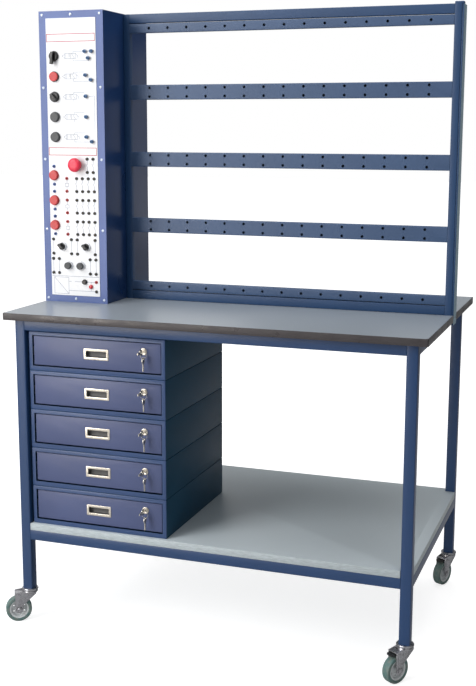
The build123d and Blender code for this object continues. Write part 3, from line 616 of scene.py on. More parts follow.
def makeHead():
    top = caster["height"] / mm
    rings = [
        (9, top - 17.6), (9, top - 15.6), (8.2, top - 14.6), (6, top - 14.6), (6, top - 6), (21.5, top - 6),
        (23.6, top - 5.2), (24, top - 4), (24, top - 1.6), (22.8, top), (12, top),
    ]
    head = turned("head", rings, (0, 0, 0), sides=64)
    plug = block("plug", away(-12.7, -12.7, top), away(12.7, 12.7, top + 25))
    roundEdges(plug, 1.5 * mm, 2, runs("z"))
    return joined("head", [head, plug])


def makePedal():
    out, height, reach = caster["pivotOut"], caster["pivotHeight"], caster["pedalReach"]
    top, half = height + 4.5 * mm, 12 * mm
    boss = rod("boss", 5 * mm, 2 * half, (out, 0, height), towardsFront, 32)
    carve(boss, rod("pinHole", 2.55 * mm, 60 * mm, (out, 0, height), towardsFront, 24))
    plate = block("plate", (out + 1.5 * mm, -half, top - 3.5 * mm), (out + reach, half, top))
    tip = out + reach - mm
    roundEdges(plate, 7.2 * mm, 6, lambda middle, along: abs(along.z) > 0.9 and middle.x > tip)
    for i in range(4):
        x = out + (11 + 5 * i) * mm
        hollow(plate, (x, -half + 3 * mm, top - 0.7 * mm), (x + 1.8 * mm, half - 3 * mm, top + mm))
    soften(plate, 0.5 * mm, 2, 50)
    return joined("pedal", [boss, plate])


def makeCasters():
    pivot = (caster["pivotOut"], 0, caster["pivotHeight"])
    pedalPin = rod("pedalPin", 2.5 * mm, 2 * outsideOf(1), pivot, towardsFront, 24)
    tyre, core, fork, head, pedal = makeTyre(), makeWheelCore(), makeFork(), makeHead(), makePedal()
    heads = []
    for corner in ("front_left", "front_right", "rear_left", "rear_right"):
        x, y, _ = joints[f"caster_swivel_{corner}"]["pos_m"]
        along = joints[f"wheel_spin_{corner}"]["axis"]
        turn = (0, 0, math.atan2(-along[0], along[1]))
        wheel, stands = f"wheel_{corner}", [f"caster_wheel_{corner}"]
        ring = laidAt(shifted(tyre, f"tyre_{corner}"), (x, y, 0), turn)
        finishPiece(ring, "tyre", stands, wheel)
        centre = laidAt(shifted(core, f"wheelCore_{corner}"), (x, y, 0), turn)
        finishPiece(centre, "wheelCore", stands, wheel)
        parts = [shifted(fork, "forkCopy")]
        if f"brake_pedal_{corner}" in joints:
            parts.append(shifted(pedalPin, "pinCopy"))
            treadle = laidAt(shifted(pedal, f"pedal_{corner}"), (x, y, 0), turn)
            finishPiece(treadle, "pedal", [f"caster_pedal_{corner}"], f"pedal_{corner}")
        whole = laidAt(joined(f"fork_{corner}", parts), (x, y, 0), turn)
        finishPiece(whole, "zinc", [f"caster_fork_{corner}"], f"fork_{corner}")
        heads.append(laidAt(shifted(head, f"head_{corner}"), (x, y, 0), (0, 0, 0)))
    finishPiece(joined("casterHeads", heads), "zinc", ["caster_stems"])
    for piece in (tyre, core, fork, head, pedal, pedalPin):
        bpy.data.objects.remove(piece)


makeCasters()
print("casters made")


# Drawer stack: cabinets, drawers, pulls, locks and keys
drawer = inMetres({
    "sheet": 1.5, "flangeSide": 11.5, "flangeTop": 11, "flangeBottom": 13.5, "gap": 2.5, "frontSheet": 1.2,
    "frontDepth": 16, "traySide": 8, "trayHeight": 70, "cabinetGap": 0.4, "pullWidth": 76, "pullHeight": 31,
    "pullFrame": 7, "pullDepth": 13, "pullDrop": 18, "bowRadius": 9, "keyThickness": 2, "keyHole": 2.4,
    "ringRadius": 9, "ringWire": 0.7, "spareLength": 20,
})
drawerCount = 5
lock = Vector(joints["lock_1_turn"]["pos_m"])
trayLow, trayHigh = sizeOf("drawer_1_tray")
heldLow = sizeOf("drawer_1_pull_and_lock")[0]
pull = Vector((heldLow.x + drawer["pullWidth"] / 2, trayLow.y, lock.z - drawer["pullDrop"]))


def cabinetBox(number):
    low, high = sizeOf("drawer_cabinets")
    step = (high.z - low.z + drawer["cabinetGap"]) / drawerCount
    low.z += (drawerCount - number) * step
    high.z = low.z + step - drawer["cabinetGap"]
    return low, high


def makeCabinets():
    low, high = cabinetBox(1)
    wall = Vector((drawer["sheet"],) * 3)
    cabinet = block("cabinet", low, high)
    roundEdges(cabinet, 2.2 * mm, 3, everyEdge)
    hollow(cabinet, low + wall, high - wall)
    side = drawer["flangeSide"]
    hollow(
        cabinet, (low.x + side, low.y - past, low.z + drawer["flangeBottom"]),
        (high.x - side, low.y + 4 * mm, high.z - drawer["flangeTop"]),
    )
    made = [cabinet]
    for number in range(2, drawerCount + 1):
        made.append(shifted(cabinet, "cabinetCopy", cabinetBox(number)[0] - low))
    stack = joined("drawerCabinets", made)
    # front flanges take the lit copy of the enamel; every other face takes the copy darkened as painted shade
    twoColours(
        stack, "cabinet", "cabinetFront", lambda middle, normal: normal.y < -0.3 and middle.y < low.y + 3 * mm
    )
    finishPiece(stack, "cabinet", ["drawer_cabinets"])


def aroundPull(name, inset, front, back):
    # a block about the pull's middle, so far inside its outline
    x, z = drawer["pullWidth"] / 2 - inset, drawer["pullHeight"] / 2 - inset
    return block(name, pull + Vector((-x, front, -z)), pull + Vector((x, back, z)))


def makeDrawerPan():
    low, high = cabinetBox(1)
    gap, thin, side = drawer["gap"], drawer["frontSheet"], drawer["flangeSide"]
    left, right = low.x + side + gap, high.x - side - gap
    bottom, top = low.z + drawer["flangeBottom"] + gap, high.z - drawer["flangeTop"] - gap
    front, back = trayLow.y, trayLow.y + drawer["frontDepth"]
    panel = block("panel", (left, front, bottom), (right, back, top))
    roundEdges(panel, 1.5 * mm, 3, lambda middle, along: middle.y < front + mm or abs(along.y) > 0.9)
    hollow(panel, (left + thin, front + thin, bottom + thin), (right - thin, back + past, top - thin))
    carve(panel, aroundPull("cutter", drawer["pullFrame"] - 1.3 * mm, -past, past))
    carve(panel, rod("lockHole", 8.1 * mm, 10 * mm, (lock.x, front, lock.z), towardsFront, 32))
    camLow = (lock.x - 5.5 * mm, front + 8 * mm, top - 3 * mm)
    hollow(panel, camLow, (lock.x + 28 * mm, front + 12.5 * mm, top + past))
    trayLeft, trayRight = low.x + side + drawer["traySide"], high.x - side - drawer["traySide"]
    rim, rear = bottom + drawer["trayHeight"], trayHigh.y
    tray = block("tray", (trayLeft, back, bottom), (trayRight, rear, rim))
    hollow(tray, (trayLeft + thin, back + thin, bottom + thin), (trayRight - thin, rear - thin, rim + past))
    soften(tray, 0.4 * mm, 2, 50)
    middle = low.z + drawer["flangeBottom"] + 38 * mm
    parts = [panel, tray]
    for x0, x1 in ((trayLow.x, trayLeft), (trayRight, trayHigh.x)):
        rail = block("railBar", (x0, back, middle - 10 * mm), (x1, rear, middle + 10 * mm))
        parts.append(soften(rail, 0.8 * mm, 2, 50))
    return joined("drawerPan", parts)


def makePull():
    ring, wall, depth = drawer["pullFrame"], 1.2 * mm, drawer["pullDepth"]
    plate = roundEdges(aroundPull("pullFrame", 0, -1.5 * mm, 0), 2.4 * mm, 5, runs("y"))
    carve(plate, roundEdges(aroundPull("window", ring, -past, past), 1.6 * mm, 4, runs("y")))
    soften(plate, 0.55 * mm, 3, 50)

    def rounded(middle, along):
        return abs(along.y) > 0.9 or middle.y > pull.y + 10 * mm

    cup = roundEdges(aroundPull("pullCup", ring - wall, 0, depth), 2 * mm, 4, rounded)
    carve(cup, roundEdges(aroundPull("pocket", ring, -past, depth - wall), 1.6 * mm, 4, rounded))
    return plate, cup


def makeLockBarrel():
    rings = [
        (5.55, -9), (8, -9), (8, 0), (10, 0), (10, 0.9), (9.3, 1.7), (8, 2), (6.4, 2), (5.55, 1.6),
        (5.55, -9),
    ]
    return turned("lockBarrel", rings, lock, towardsFront, 48, closed=False)


def makeBlade(name, length, low, thickness, width):
    # the toothed blade hangs down from low, its teeth towards +Y
    blade = block(name, (-thickness / 2, -width / 2, -length), (thickness / 2, width / 2, low))
    for i, depth in enumerate((1.1, 1.7, 0.8, 1.5, 1.0)):
        z = -length + (3 + 3.6 * i) * mm
        if z + 2 * mm < low - 4 * mm:
            hollow(blade, (-past, width / 2 - depth * mm, z), (past, width / 2 + past, z + 1.9 * mm))
    hollow(blade, (thickness * 0.15, -width * 0.12, -length - past), (past, width * 0.16, low - 3 * mm))
    return soften(blade, 0.2 * mm, 1, 50)


def makeBow(name, holeHeight=0.0):
    # a round bow with a hole, lying in the YZ plane at the origin
    half, rim = drawer["keyThickness"] / 2 / mm, drawer["bowRadius"] / mm
    lower = [
        (2, -half), (rim - 2.4, -half), (rim - 2.1, -half * 0.7), (rim - 1.2, -half * 0.7),
        (rim - 0.9, -half), (rim - 0.3, -half), (rim, 0.3 - half),
    ]
    bow = turned(name, mirrored(lower), (0, 0, 0), towardsRight, 40)
    return carve(bow, rod("bowHole", drawer["keyHole"], 10 * mm, (0, 0, holeHeight), towardsRight, 28))


def makeKeyRing(place):
    deselect()
    bpy.ops.mesh.primitive_torus_add(
        major_radius=drawer["ringRadius"], minor_radius=drawer["ringWire"] * 0.62, major_segments=48,
        minor_segments=10, location=place - away(0, 0.35, 0), rotation=towardsFront,
    )
    first = named("ringTurn")
    return joined("keyRing", [first, shifted(first, "ringTurn", away(0, 0.7, 0))])


def makeKeys():
    radius, neck = drawer["bowRadius"], 1.2 * mm - drawer["bowRadius"]
    hole = Vector((lock.x, sizeOf("drawer_1_key")[0].y + radius, lock.z))
    plug = turned("plug", [(5.5, -11.3), (5.5, 1.4), (5.1, 1.8), (3, 1.8)], lock, towardsFront, 40)
    hollow(plug, lock + away(-1.1, -10, -3.4), lock + away(1.1, 6, 3.4))
    cam = soften(block("cam", lock + away(0, 9.3, -4.5), lock + away(34, 11.3, 4.5)), 0.5 * mm, 2, 50)
    shank = block("shank", (-mm, -4 * mm, -radius - 14.5 * mm), (mm, 4 * mm, neck))
    shoulder = -radius - 6.5 * mm
    hollow(shank, (-past, -past, -0.1), (past, -3.2 * mm, shoulder))
    hollow(shank, (-past, 3.2 * mm, -0.1), (past, past, shoulder))
    soften(shank, 0.2 * mm, 1, 50)
    key = laidAt(joined("key", [makeBow("bow"), shank]), hole, towardsBack)  # its shank points into the plug
    ringMiddle = hole + Vector((drawer["ringRadius"], 0, -drawer["ringRadius"])) / math.sqrt(2)
    ring = makeKeyRing(ringMiddle)
    length = radius + drawer["spareLength"]
    spareBow = makeBow("spareBow", radius - drawer["keyHole"] - 1.5 * mm)
    spare = joined("spareKey", [spareBow, makeBlade("spareBlade", length, neck, 1.9 * mm, 6.5 * mm)])
    laidAt(spare, (ringMiddle.x, hole.y, heldLow.z + length), (0, 0, 0))
    return joined("plugAndCam", [plug, cam]), key, ring, spare


def makeDrawers():
    pan, (plate, cup), barrel = makeDrawerPan(), makePull(), makeLockBarrel()
    plug, key, ring, spare = makeKeys()
    kinds = (
        (pan, "drawerPan", "drawer", "drawer_paint", "tray", "drawer"),
        (plate, "pullFrame", "nickel", "satin_nickel", "pull_and_lock", "drawer"),
        (cup, "pullCup", "cup", "satin_nickel", "pull_and_lock", "drawer"),
        (barrel, "lockBarrel", "nickel", "satin_nickel", "pull_and_lock", "drawer"),
        (ring, "keyRing", "keyNickel", "satin_nickel", "pull_and_lock", "drawer"),
        (spare, "spareKey", "keyNickel", "satin_nickel", "pull_and_lock", "drawer"),
        (plug, "lockPlug", "nickel", "key_brass", "key", "key"),
        (key, "key", "keyNickel", "key_brass", "key", "key"),
    )
    for number in range(1, drawerCount + 1):
        shift = Vector(joints[f"lock_{number}_turn"]["pos_m"]) - lock
        for piece, name, colour, slotName, node, body in kinds:
            copy = shifted(piece, f"{name}_{number}", shift)
            finishPiece(copy, colour, [f"drawer_{number}_{node}"], f"{body}_{number}")
    for kind in kinds:
        bpy.data.objects.remove(kind[0])


makeCabinets()
makeDrawers()
repaint("drawer_runners", "runner")
print("drawers made")


# Rack: uprights, beams, cap, perforated bars and side strap
rack = inMetres({
    "tube": 20, "beam": 26, "tubeRadius": 1.8, "cap": 6, "sheet": 1.5, "holePitch": 59, "holeRadius": 4,
    "rowSpacing": 25, "edgeBar": 26, "middleBar": 43,
})
holesInRow = 15


def makeRackFrame():
    low, high = sizeOf("rack_frame")
    side, top, radius = rack["tube"], high.z - rack["cap"], rack["tubeRadius"]
    right = sizeOf("rack_side_strap")[0].x
    made = []
    for x in (low.x, right - side):
        made.append(makeTube("upright", (x, low.y, low.z), (x + side, high.y, top), "z", radius))
    for z in (low.z, top - rack["beam"]):
        ends = (low.x + side, low.y, z), (right - side, high.y, z + rack["beam"])
        made.append(makeTube("beam", *ends, "x", radius))
    finishPiece(joined("rackFrame", made), "rack", ["rack_frame"])
    cap = block("rackCap", (right - side, low.y, top), high)
    roundEdges(cap, 2 * mm, 4, lambda middle, along: middle.z > top + mm)
    finishPiece(cap, "rack", ["rack_frame"])


def makeBar(height, tall, rows):
    low, high = sizeOf("rack_bars")
    low.z, high.z = height - tall / 2, height + tall / 2
    thin, centre = rack["sheet"], (low.x + high.x) / 2
    bar = roundEdges(block("bar", low, high), 1.4 * mm, 3, runs("x"))
    hollow(bar, low + Vector((-past, thin, thin)), high - Vector((-past, thin, thin)))
    for row in rows:
        pins = []
        for i in range(holesInRow):
            x = centre + (i - (holesInRow - 1) / 2) * rack["holePitch"]
            pins.append(rod("pin", rack["holeRadius"], 6 * mm, (x, low.y, row), towardsFront, 28))
        carve(bar, joined("pins", pins))
    return bar


def makeBars():
    low, high = sizeOf("rack_bars")
    edge, gap = rack["edgeBar"], rack["rowSpacing"]
    lowRow, highRow = low.z + edge / 2, high.z - edge / 2
    reach = (highRow - lowRow - 3 * gap) / 4
    made = [makeBar(row, edge, [row]) for row in (lowRow, highRow)]
    for i in range(3):
        height = lowRow + reach + gap / 2 + i * (reach + gap)
        made.append(makeBar(height, rack["middleBar"], [height - gap / 2, height + gap / 2]))
    finishPiece(joined("rackBars", made), "bar", ["rack_bars"])


def strapScrewPlaces():
    # two screws into the worktop's edge and three into the upright
    low, high = sizeOf("rack_side_strap")
    frameHigh, topZ = sizeOf("rack_frame")[1], sizeOf("worktop")[1].z
    places = [(low.y + share * (high.y - low.y), topZ - 10 * mm) for share in (0.25, 0.75)]
    middle = (topZ + frameHigh.z - rack["cap"]) / 2
    return places + [((low.y + frameHigh.y) / 2, z) for z in (topZ + 60 * mm, middle, high.z - 40 * mm)]


def makeStrap():
    # flat bar of bare zinc: its narrow front edge gets the dark rack paint as painted shade
    low, high = sizeOf("rack_side_strap")
    strap = soften(block("sideStrap", low, high), 0.7 * mm, 2, 50)
    places = [(high.x, y, z) for y, z in strapScrewPlaces()]
    recesses = [rod("recess", 4.1 * mm, 4.4 * mm, place, towardsRight, 28) for place in places]
    carve(strap, joined("recesses", recesses))
    # faces pointing forward are darkened with the rack paint as painted shade
    twoColours(strap, "strap", "rack", lambda middle, normal: normal.y < -0.5)
    finishPiece(strap, "strap", ["rack_side_strap"])


makeRackFrame()
makeBars()
makeStrap()
print("rack made")


# Console: the case and what is printed on its face. Places are in millimetres from the lower left corner
console = inMetres({
    "sheet": 1.5, "frontReach": 22, "backReach": 21, "line": 1.2, "titleLine": 1.8, "ink": 0.12,
})
titles = ((25, 757, 178, 778), (25, 434, 178, 455))
valveRows = [716 - 57.5 * i for i in range(5)]
relayRows = (347.5, 284.5, 221.5)
contactColumns = (112.5, 131.5, 150.5, 169.5)
plateLow, plateHigh = sizeOf("console_front_plate")
faceY = sizeOf("console_fascia")[0].y


def onFace(place):
    return Vector((plateLow.x + place[0] * mm, faceY, plateLow.z + place[1] * mm))


def makeCase():
    low, high = sizeOf("console_case")
    wall = Vector((console["sheet"],) * 3)
    case = roundEdges(block("consoleCase", low, high), 1.5 * mm, 3, everyEdge)
    hollow(case, low + wall, high - wall)
    for y, reach in ((low.y, console["frontReach"]), (high.y, console["backReach"])):
        hollow(case, (low.x + reach, y - 3 * mm, low.z + reach), (high.x - reach, y + 3 * mm, high.z - reach))
    finishPiece(case, "console", ["console_case"])


def openPrint(name):
    start = onFace((0, 0))
    piece = block(name, start, start + away(1, 1, 1))
    only(piece)
    bpy.ops.object.mode_set(mode="EDIT")
    bpy.ops.mesh.select_all(action="SELECT")
    bpy.ops.mesh.delete(type="VERT")
    return piece


def printLines(lines, width=console["line"], rise=0):
    # each line is left, bottom, right, top
    for x0, y0, x1, y1 in lines:
        a, b = onFace((x0, y0 + rise)), onFace((x1, y1 + rise))
        along, middle = b - a, (a + b) / 2
        middle.y -= console["ink"] / 2
        bpy.ops.mesh.primitive_cube_add(
            size=1, location=middle, rotation=(0, -math.atan2(along.z, along.x), 0),
            scale=(along.length + width, console["ink"], width),
        )


def boxLines(left, bottom, right, top):
    return [
        (left, bottom, right, bottom), (left, top, right, top),
        (left, bottom, left, top), (right, bottom, right, top),
    ]


def printValves():
    # a two-position valve beside each of the five upper controls, with its lines
    symbol = boxLines(82, -7, 100, 7) + boxLines(100, -7, 118, 7) + [
        (74, 0, 82, 5), (74, 0, 82, -5), (118, 4, 124, 1), (124, 1, 124, -5), (86, -7, 86, 7),
        (96, 7, 96, -2), (104, 7, 114, -7), (109, 7, 109, 12), (109, 12, 142, 12), (109, -7, 109, -14),
    ]
    for i, row in enumerate(valveRows):
        printLines(symbol, rise=row)
        if i in (0, 1, 4):
            printLines([(109, -14, 160, -14)], rise=row)
    printLines([(175, valveRows[2] + 2, 175, valveRows[4] + 14), (157, valveRows[2], 175, valveRows[2] + 2)])


def printRelays():
    symbol = boxLines(75, -4.5, 86, 4.5) + [(80.5, 4.5, 80.5, 13), (80.5, -4.5, 80.5, -13)]
    for x in contactColumns:
        symbol += [(x, 13, x, 5), (x, -13, x, -5), (x, -5, x - 4, 5)]
    for row in relayRows:
        printLines(symbol, rise=row)


def printLower():
    for x in (148, 167):
        printLines([(x, 417.5, x, 407), (x, 390, x, 400), (x, 400, x - 4, 408)])
    printLines([(x, 181, x, 151) for x in (32, 168.7, 91, 110.5)])
    printLines([(x, 124, x, 93) for x in (30.5, 49.5, 151.5, 170.5)])
    printLines(boxLines(32, 25, 79.5, 74))
    printLines([
        (25, 78, 179, 78), (32, 74, 79.5, 25), (79.5, 62.5, 88, 62.5), (100, 62.5, 124, 62.5),
        (141, 62.5, 166, 62.5), (79.5, 35, 166, 35), (153, 41, 153, 35), (153, 57, 153, 62.5),
    ])


def printFace():
    frames = openPrint("titleFrames")
    for title in titles:
        printLines(boxLines(*title), console["titleLine"])
    leaveEdit()
    finishPiece(frames, "printRed")
    lines = openPrint("printedSymbols")
    printValves()
    printRelays()
    printLower()
    leaveEdit()
    finishPiece(lines, "printGrey")


makeCase()
printFace()
repaint("console_front_plate", "frontPlate")
repaint("console_fascia", "fascia")
repaint("console_rear_cover", "console")
repaint("pneumatic_valves", "valves")
repaint("electrical_units", "units")
print("console case and print made")


# Sockets by colour, push-in fittings, fuse holder and lamp
socketPlaces = {
    "red": [(80.5, row + side * 18.6) for row in relayRows for side in (1, -1)] + [(170.5, 63)],
    "blue": [(39.5, v + side * 26) for v in (375, 302, 229) for side in (1, -1)],
    "black": [(u, row + side * 18.6) for u in contactColumns for row in relayRows for side in (1, -1)]
    + [(u, v) for u in (148, 167) for v in (423, 384.5)]
    + [(u, v) for u in (32, 91, 110.5, 168.7) for v in (187, 145)]
    + [(u, v) for u in (30.5, 49.5, 151.5, 170.5) for v in (129.5, 87.3)]
    + [(170.5, 35)],
}
socketColours = {"red": "darkRed", "blue": "blue", "black": "socketBlack"}
fittingPlaces = [
    (148, 728), (169, 728), (158.5, 709), (149, 661.5), (166.5, 648), (149, 602), (149, 543.5), (149, 486.5),
    (166.5, 473),
]
fusePlace, lampPlace = (132.5, 62.5), (153, 49)


def turnedOnFace(name, rings, place=(0, 0), sides=56, closed=True):
    return turned(name, rings, onFace(place), towardsFront, sides, closed)


def spreadOver(piece, places, name):
    # copies of a piece drawn at the face's lower left corner, joined into one
    made = [shifted(piece, "copy", onFace(place) - onFace((0, 0))) for place in places]
    bpy.data.objects.remove(piece)
    return joined(name, made)


def makeSocket(colour):
    rings = [
        (3.5, -18), (3.5, 0), (4.5, 0), (4.5, 2.3), (4.1, 2.9), (3.7, 3), (2.5, 3), (2.1, 2.7), (2, 2.2),
        (2, -16),
    ]
    socket = turnedOnFace("socket", rings, sides=28)
    centre = onFace((0, 0))

    def inBore(middle, normal):
        sideways = math.hypot(middle.x - centre.x, middle.z - centre.z)
        return sideways < 2.1 * mm and faceY - 2.1 * mm < middle.y < faceY + 17 * mm

    twoColours(socket, colour, "brass", inBore)
    return socket


def makeSockets():
    for name, colour in socketColours.items():
        group = spreadOver(makeSocket(colour), socketPlaces[name], f"sockets_{name}")
        finishPiece(group, colour, ["console_sockets"])


def makeFittings():
    nut = turnedOnFace("fittingNut", [(6, 0), (6.2, 0.4), (6.2, 3.6), (5.6, 4), (5, 4)], sides=6)
    rings = [
        (5, -16), (5, 8.6), (4.7, 9.2), (3.9, 9.2), (3.7, 9.3), (3.7, 10.2), (3.4, 10.5), (2.3, 10.5),
        (2.05, 10.2), (2.05, -3.4),
    ]
    barrel = turnedOnFace("fittingBarrel", rings, sides=32)
    for piece, name, colour in ((nut, "fittingNuts", "zinc"), (barrel, "fittingBarrels", "fitting")):
        finishPiece(spreadOver(piece, fittingPlaces, name), colour, ["push_in_fittings"])


def makeFuseAndLamp():
    rings = [(6, -22), (6, 0), (8, 0), (8, 2), (7.4, 2.6), (6.6, 2.8), (6.6, 7.2), (6, 8), (3, 8)]
    fuse = turnedOnFace("fuseHolder", rings, fusePlace, 40)
    hollow(fuse, onFace(fusePlace) - away(4.5, 9, 0.6), onFace(fusePlace) + away(4.5, -7, 0.6))
    finishPiece(fuse, "black", ["fuse_and_lamp"])
    rings = [(6, -22), (6, 0), (6.5, 0), (6.5, 2.4), (5.9, 2.8), (5.7, 4), (4.8, 5.2), (3.2, 5.8), (1.4, 6)]
    finishPiece(turnedOnFace("supplyLamp", rings, lampPlace, 40), "lens", ["fuse_and_lamp"])


makeSockets()
makeFittings()
makeFuseAndLamp()
print("sockets and fittings made")


# Buttons, knobs and levers, each on the body of its own name: place, form, colour and colour of the ring
controls = {
    "selector_lever": ((47.5, 716), "lever", "black", "black"),
    "red_palm_button": ((47.5, 658.5), "button", "red", "black"),
    "valve_selector": ((47.5, 601), "knob", "black", "black"),
    "grey_button_upper": ((47.5, 543.5), "button", "darkGrey", "darkGrey"),
    "grey_button_lower": ((47.5, 486), "button", "darkGrey", "darkGrey"),
    "emergency_stop": ((115, 406), "mushroom", "stopRed", "red"),
    "red_button_1": ((39.5, 375), "button", "red", "red"),
    "red_button_2": ((39.5, 302), "button", "red", "red"),
    "red_button_3": ((39.5, 229), "button", "red", "red"),
    "switch_left": ((61.5, 166.5), "switch", "black", "pale"),
    "switch_right": ((140, 166.5), "switch", "black", "pale"),
    "start_button_left": ((81, 110), "start", "darkGrey", "pale"),
    "start_button_right": ((121, 110), "start", "darkGrey", "pale"),
}
# How each turning form stands: cap radius, how far its bar stands out, the bar's reach in radii, and its tilt
knobs = {"lever": (13.6, 18, 1.7, 186), "knob": (13.6, 16, 0.82, -45), "switch": (10.1, 18, 0.98, -45)}


def makeRing(name, place, small):
    outer, wall = (13.5, 3.2) if small else (15, 1.2)
    inner = outer - wall
    rings = [
        (8.1, -12), (11, -12), (11, 0), (outer - 0.2, 0), (outer, 0.4), (outer, 2.6), (outer - 0.5, 3.5),
        (outer - min(1.0, wall / 2), 4), (inner + 0.2, 4), (inner, 3.7), (inner, 0.8), (8.1, 0.8), (8.1, -12),
    ]
    return turnedOnFace(name, rings, place, 64, closed=False)


def makeNuts():
    depth = Vector((0, plateHigh.y - faceY, 0))
    rings = [(11.05, 0), (13.2, 0), (14, 0.5), (14, 2.5), (13.2, 3), (11.05, 3), (11.05, 0)]
    places = [onFace(row[0]) + depth for row in controls.values()]
    nuts = [turned("nut", rings, place, towardsBack, 8, closed=False) for place in places]
    return joined("panelNuts", nuts)


def makeButton(name, place, small):
    radius, proud = (10.1, 12.5) if small else (13.6, 9)
    rings = [
        (8, -13), (8, 3.9), (radius - 0.3, 3.9), (radius, 4.2), (radius, proud - 1.5),
        (radius - 0.35, proud - 0.6), (radius - 1.2, proud - 0.1), (radius - 1.9, proud),
        (radius * 0.7, proud - 0.25), (radius * 0.3, proud - 0.4),
    ]
    return turnedOnFace(name, rings, place)


def makeKnob(name, place, form):
    # a bar across the knob, drawn upright and then tilted about the knob's axis
    radius, proud, reach, tilt = knobs[form]
    rings = [
        (8, -13), (8, 1.1), (radius - 0.2, 1.1), (radius, 1.4), (radius, 6.6), (radius - 0.5, 7.5),
        (radius - 1.2, 8), (radius * 0.5, 8),
    ]
    disc = turnedOnFace(name, rings, place)
    bar = block("handle", away(-4, -proud, -radius * 0.94), away(4, -7.6, reach * radius))
    roundEdges(bar, 8 * mm * 0.32, 5, runs("y"))
    soften(bar, 0.7 * mm, 3, 50)
    return joined(name, [disc, laidAt(bar, onFace(place), (0, math.radians(tilt), 0))])


def makeMushroom(name, place):
    rings = [
        (8, -13), (8, 7), (9.5, 7), (9.5, 13.4), (11, 14), (19.3, 14), (20.1, 14.6), (20.3, 15.6), (20.3, 18),
        (19.7, 20.6), (18, 23), (15.2, 24.8), (11.5, 25.6), (6, 26),
    ]
    return turnedOnFace(name, rings, place, 72)


def makeControls():
    for name, (place, form, colour, ringColour) in controls.items():
        small = form in ("switch", "start")
        if form in knobs:
            piece = makeKnob(f"knob_{name}", place, form)
        elif form == "mushroom":
            piece = makeMushroom(f"cap_{name}", place)
        else:
            piece = makeButton(f"cap_{name}", place, small)
        finishPiece(piece, colour, [name], name)
        finishPiece(makeRing(f"ring_{name}", place, small), ringColour, ["control_bezels"])
    finishPiece(makeNuts(), "zinc", ["control_bezels"])


makeControls()
print("controls made")


# Screws: pan heads with a cross, on the console's front and back and on the strap
screw = {
    "head": 4, "height": 2.2, "shank": 2, "length": 7, "cross": 2.1, "groove": 0.42, "inset": 10.5, "rows": 5,
}


def makeScrew():
    head, shank, cross, groove = screw["head"], screw["shank"], screw["cross"], screw["groove"]
    rings = [
        (shank, -screw["length"]), (shank, 0), (head, 0), (head, 0.8), (3.6, 1.5), (2.7, 2),
        (1.4, screw["height"]),
    ]
    piece = turned("screw", rings, (0, 0, 0), sides=28)
    for x, y in ((cross, groove), (groove, cross)):
        hollow(piece, away(-x, -y, 1.1), away(x, y, 4))
    return piece


def screwPlaces():
    width, height = (plateHigh.x - plateLow.x) / mm, (plateHigh.z - plateLow.z) / mm
    inset, last = screw["inset"], screw["rows"] - 1
    rows = [inset + i * (height - 2 * inset) / last for i in range(screw["rows"])]
    front = [(u, v) for v in rows for u in (inset, width - inset)]
    front += [(width / 2, rows[0]), (width / 2, rows[-1])]
    back = [(u, v) for u in (inset, width - inset) for v in (inset, height / 2, height - inset)]
    return front, back


def makeScrews():
    model = makeScrew()
    front, back = screwPlaces()
    sides = ((front, plateLow.y, towardsFront), (back, sizeOf("console_rear_cover")[1].y, towardsBack))
    made = []
    for i, (places, y, laid) in enumerate(sides):
        for j, place in enumerate(places):
            at = onFace(place)
            turn = (laid[0], math.radians(37 * j + 11 * i), 0)
            made.append(laidAt(shifted(model, "screwCopy"), (at.x, y, at.z), turn))
    x = sizeOf("rack_side_strap")[1].x - screw["height"] * mm
    made += [laidAt(shifted(model, "screwCopy"), (x, y, z), towardsRight) for y, z in strapScrewPlaces()]
    bpy.data.objects.remove(model)
    finishPiece(joined("screws", made), "screw", ["fasteners"])


makeScrews()
print("screws made")


# Floor, light and camera
view = {
    "away": Vector((1.0743, -3.1546, 1.4223)), "yaw": 19.378, "pitch": -9.8, "roll": 0.15,
    "focal": 1141.2, "centreX": 238, "centreY": 328.6, "width": 476, "height": 686,
    "window": (-0.55, -0.75, 0.36), "skyDark": 0.035, "skyBright": 0.6,
}
# Each light: place, what it faces, width and height, watts and colour
lights = {
    "keyLight": ((-2.4, -3.0, 3.3), (0, 0, 0.9), (2.2, 2.2), 90, (1, 1, 1)),
    "frontLight": ((-1.9, -2.9, 1.7), (-0.3, 0, 1.1), (1.6, 1.8), 25, (1, 1, 1)),
    "fillLight": ((3.4, -2.6, 2.4), (0, 0, 0.8), (2.5, 2.5), 8, (1, 1, 1)),
    "lowLight": ((-3.1, -5.2, 0.5), (-0.3, -0.4, 0.7), (2.4, 1.0), 52, (1, 0.92, 0.84)),
    "sideCard": ((0.8, 2.4, 1.35), (-0.4, 0, 1.3), (2.2, 1.3), 2.4, (1, 1, 1)),
    "backLight": ((-2.6, 3.2, 2.6), (0, 0, 0.9), (3.2, 3.2), 24, (1, 1, 1)),
    "topLight": ((0.3, 0.4, 4.2), (0, 0, 0.8), (3, 3), 90, (1, 1, 1)),
}


# Joins a strength with what the camera alone sees, so that neither horizon nor sky darkens the picture
def seenByCamera(tree, operation, value):
    path = tree.nodes.new("ShaderNodeLightPath")
    both = tree.nodes.new("ShaderNodeMath")
    both.operation = operation
    tree.links.new(path.outputs["Is Camera Ray"], both.inputs[0])
    tree.links.new(value, both.inputs[1])
    return both.outputs["Value"]


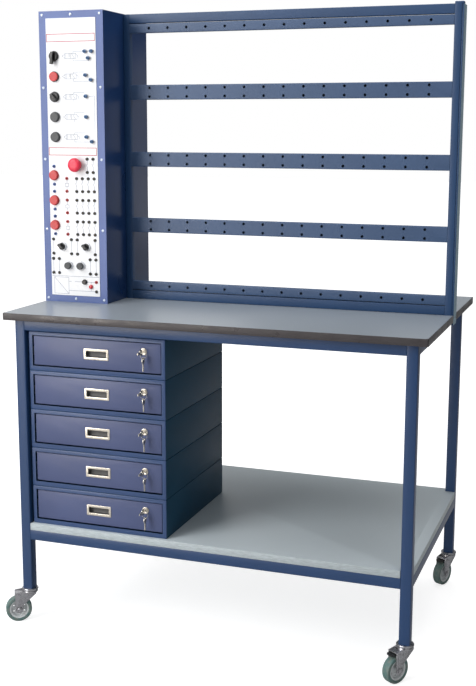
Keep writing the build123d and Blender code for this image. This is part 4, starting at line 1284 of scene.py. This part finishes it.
def makeFloor():
    deselect()
    bpy.ops.mesh.primitive_plane_add(size=60, location=(0, 0, 0))
    floor = named("floor")
    material, tree, shader = startMaterial("floorPale", 0.7)
    place = placeOn(tree)
    cloud = between(tree, grain(tree, place, 2, 3), 0, 1)
    pale = mixColours(tree, cloud, (0.5, 0.5, 0.51, 1), (0.54, 0.54, 0.54, 1))
    tree.links.new(pale, shader.inputs["Base Color"])
    reach = tree.nodes.new("ShaderNodeVectorMath")
    reach.operation = "LENGTH"
    tree.links.new(place, reach.inputs[0])
    far = between(tree, reach.outputs["Value"], 0.76, 1, 1.2, 3.4)
    shader.inputs["Emission Color"].default_value = (1, 1, 1, 1)
    tree.links.new(seenByCamera(tree, "MULTIPLY", far), shader.inputs["Emission Strength"])
    floor.data.materials.append(material)


def makeLights():
    for name, (place, target, size, power, colour) in lights.items():
        deselect()
        bpy.ops.object.light_add(type="AREA", location=place)
        lamp = bpy.context.object
        lamp.name = name
        lamp.data.shape = "RECTANGLE"
        lamp.data.size, lamp.data.size_y = size
        lamp.data.energy = power
        lamp.data.color = colour
        lamp.rotation_euler = (Vector(target) - Vector(place)).to_track_quat("-Z", "Y").to_euler()
        lamp.visible_camera = False  # the side card and the back light stand behind the bench, in the picture


def makeWorld():
    world = bpy.data.worlds.new("studio")
    bpy.context.scene.world = world
    world.use_nodes = True
    tree = world.node_tree
    background = tree.nodes["Background"]
    background.inputs["Color"].default_value = (1, 1, 1, 1)
    # bright in front and to the left, dark behind, as in a room with its windows on one side
    direction = tree.nodes.new("ShaderNodeTexCoord")
    facing = tree.nodes.new("ShaderNodeVectorMath")
    facing.operation = "DOT_PRODUCT"
    tree.links.new(direction.outputs["Generated"], facing.inputs[0])
    facing.inputs[1].default_value = view["window"]
    around = between(tree, facing.outputs["Value"], view["skyDark"], view["skyBright"], -0.5, 0.9)
    tree.links.new(seenByCamera(tree, "MAXIMUM", around), background.inputs["Strength"])


def makeCamera():
    low, high = sizeOf("worktop")
    middle = Vector(((low.x + high.x) / 2, (low.y + high.y) / 2, 0))
    data = bpy.data.cameras.new("photoCamera")
    camera = bpy.data.objects.new("photoCamera", data)
    bpy.context.scene.collection.objects.link(camera)
    camera.location = middle + view["away"]
    yaw, pitch, roll = (math.radians(view[key]) for key in ("yaw", "pitch", "roll"))
    turn = Matrix.Rotation(yaw, 4, "Z") @ Matrix.Rotation(math.pi / 2 + pitch, 4, "X")
    camera.rotation_euler = (turn @ Matrix.Rotation(roll, 4, "Z")).to_euler()
    longSide = max(view["width"], view["height"])
    data.sensor_width = 36
    data.lens = view["focal"] / longSide * data.sensor_width
    data.shift_x = (view["width"] / 2 - view["centreX"]) / longSide
    data.shift_y = (view["centreY"] - view["height"] / 2) / longSide
    data.clip_start, data.clip_end = 0.05, 60
    bpy.context.scene.camera = camera


makeFloor()
makeWorld()
makeLights()
makeCamera()
bpy.context.scene.view_settings.view_transform = "Standard"

print("scene ready")
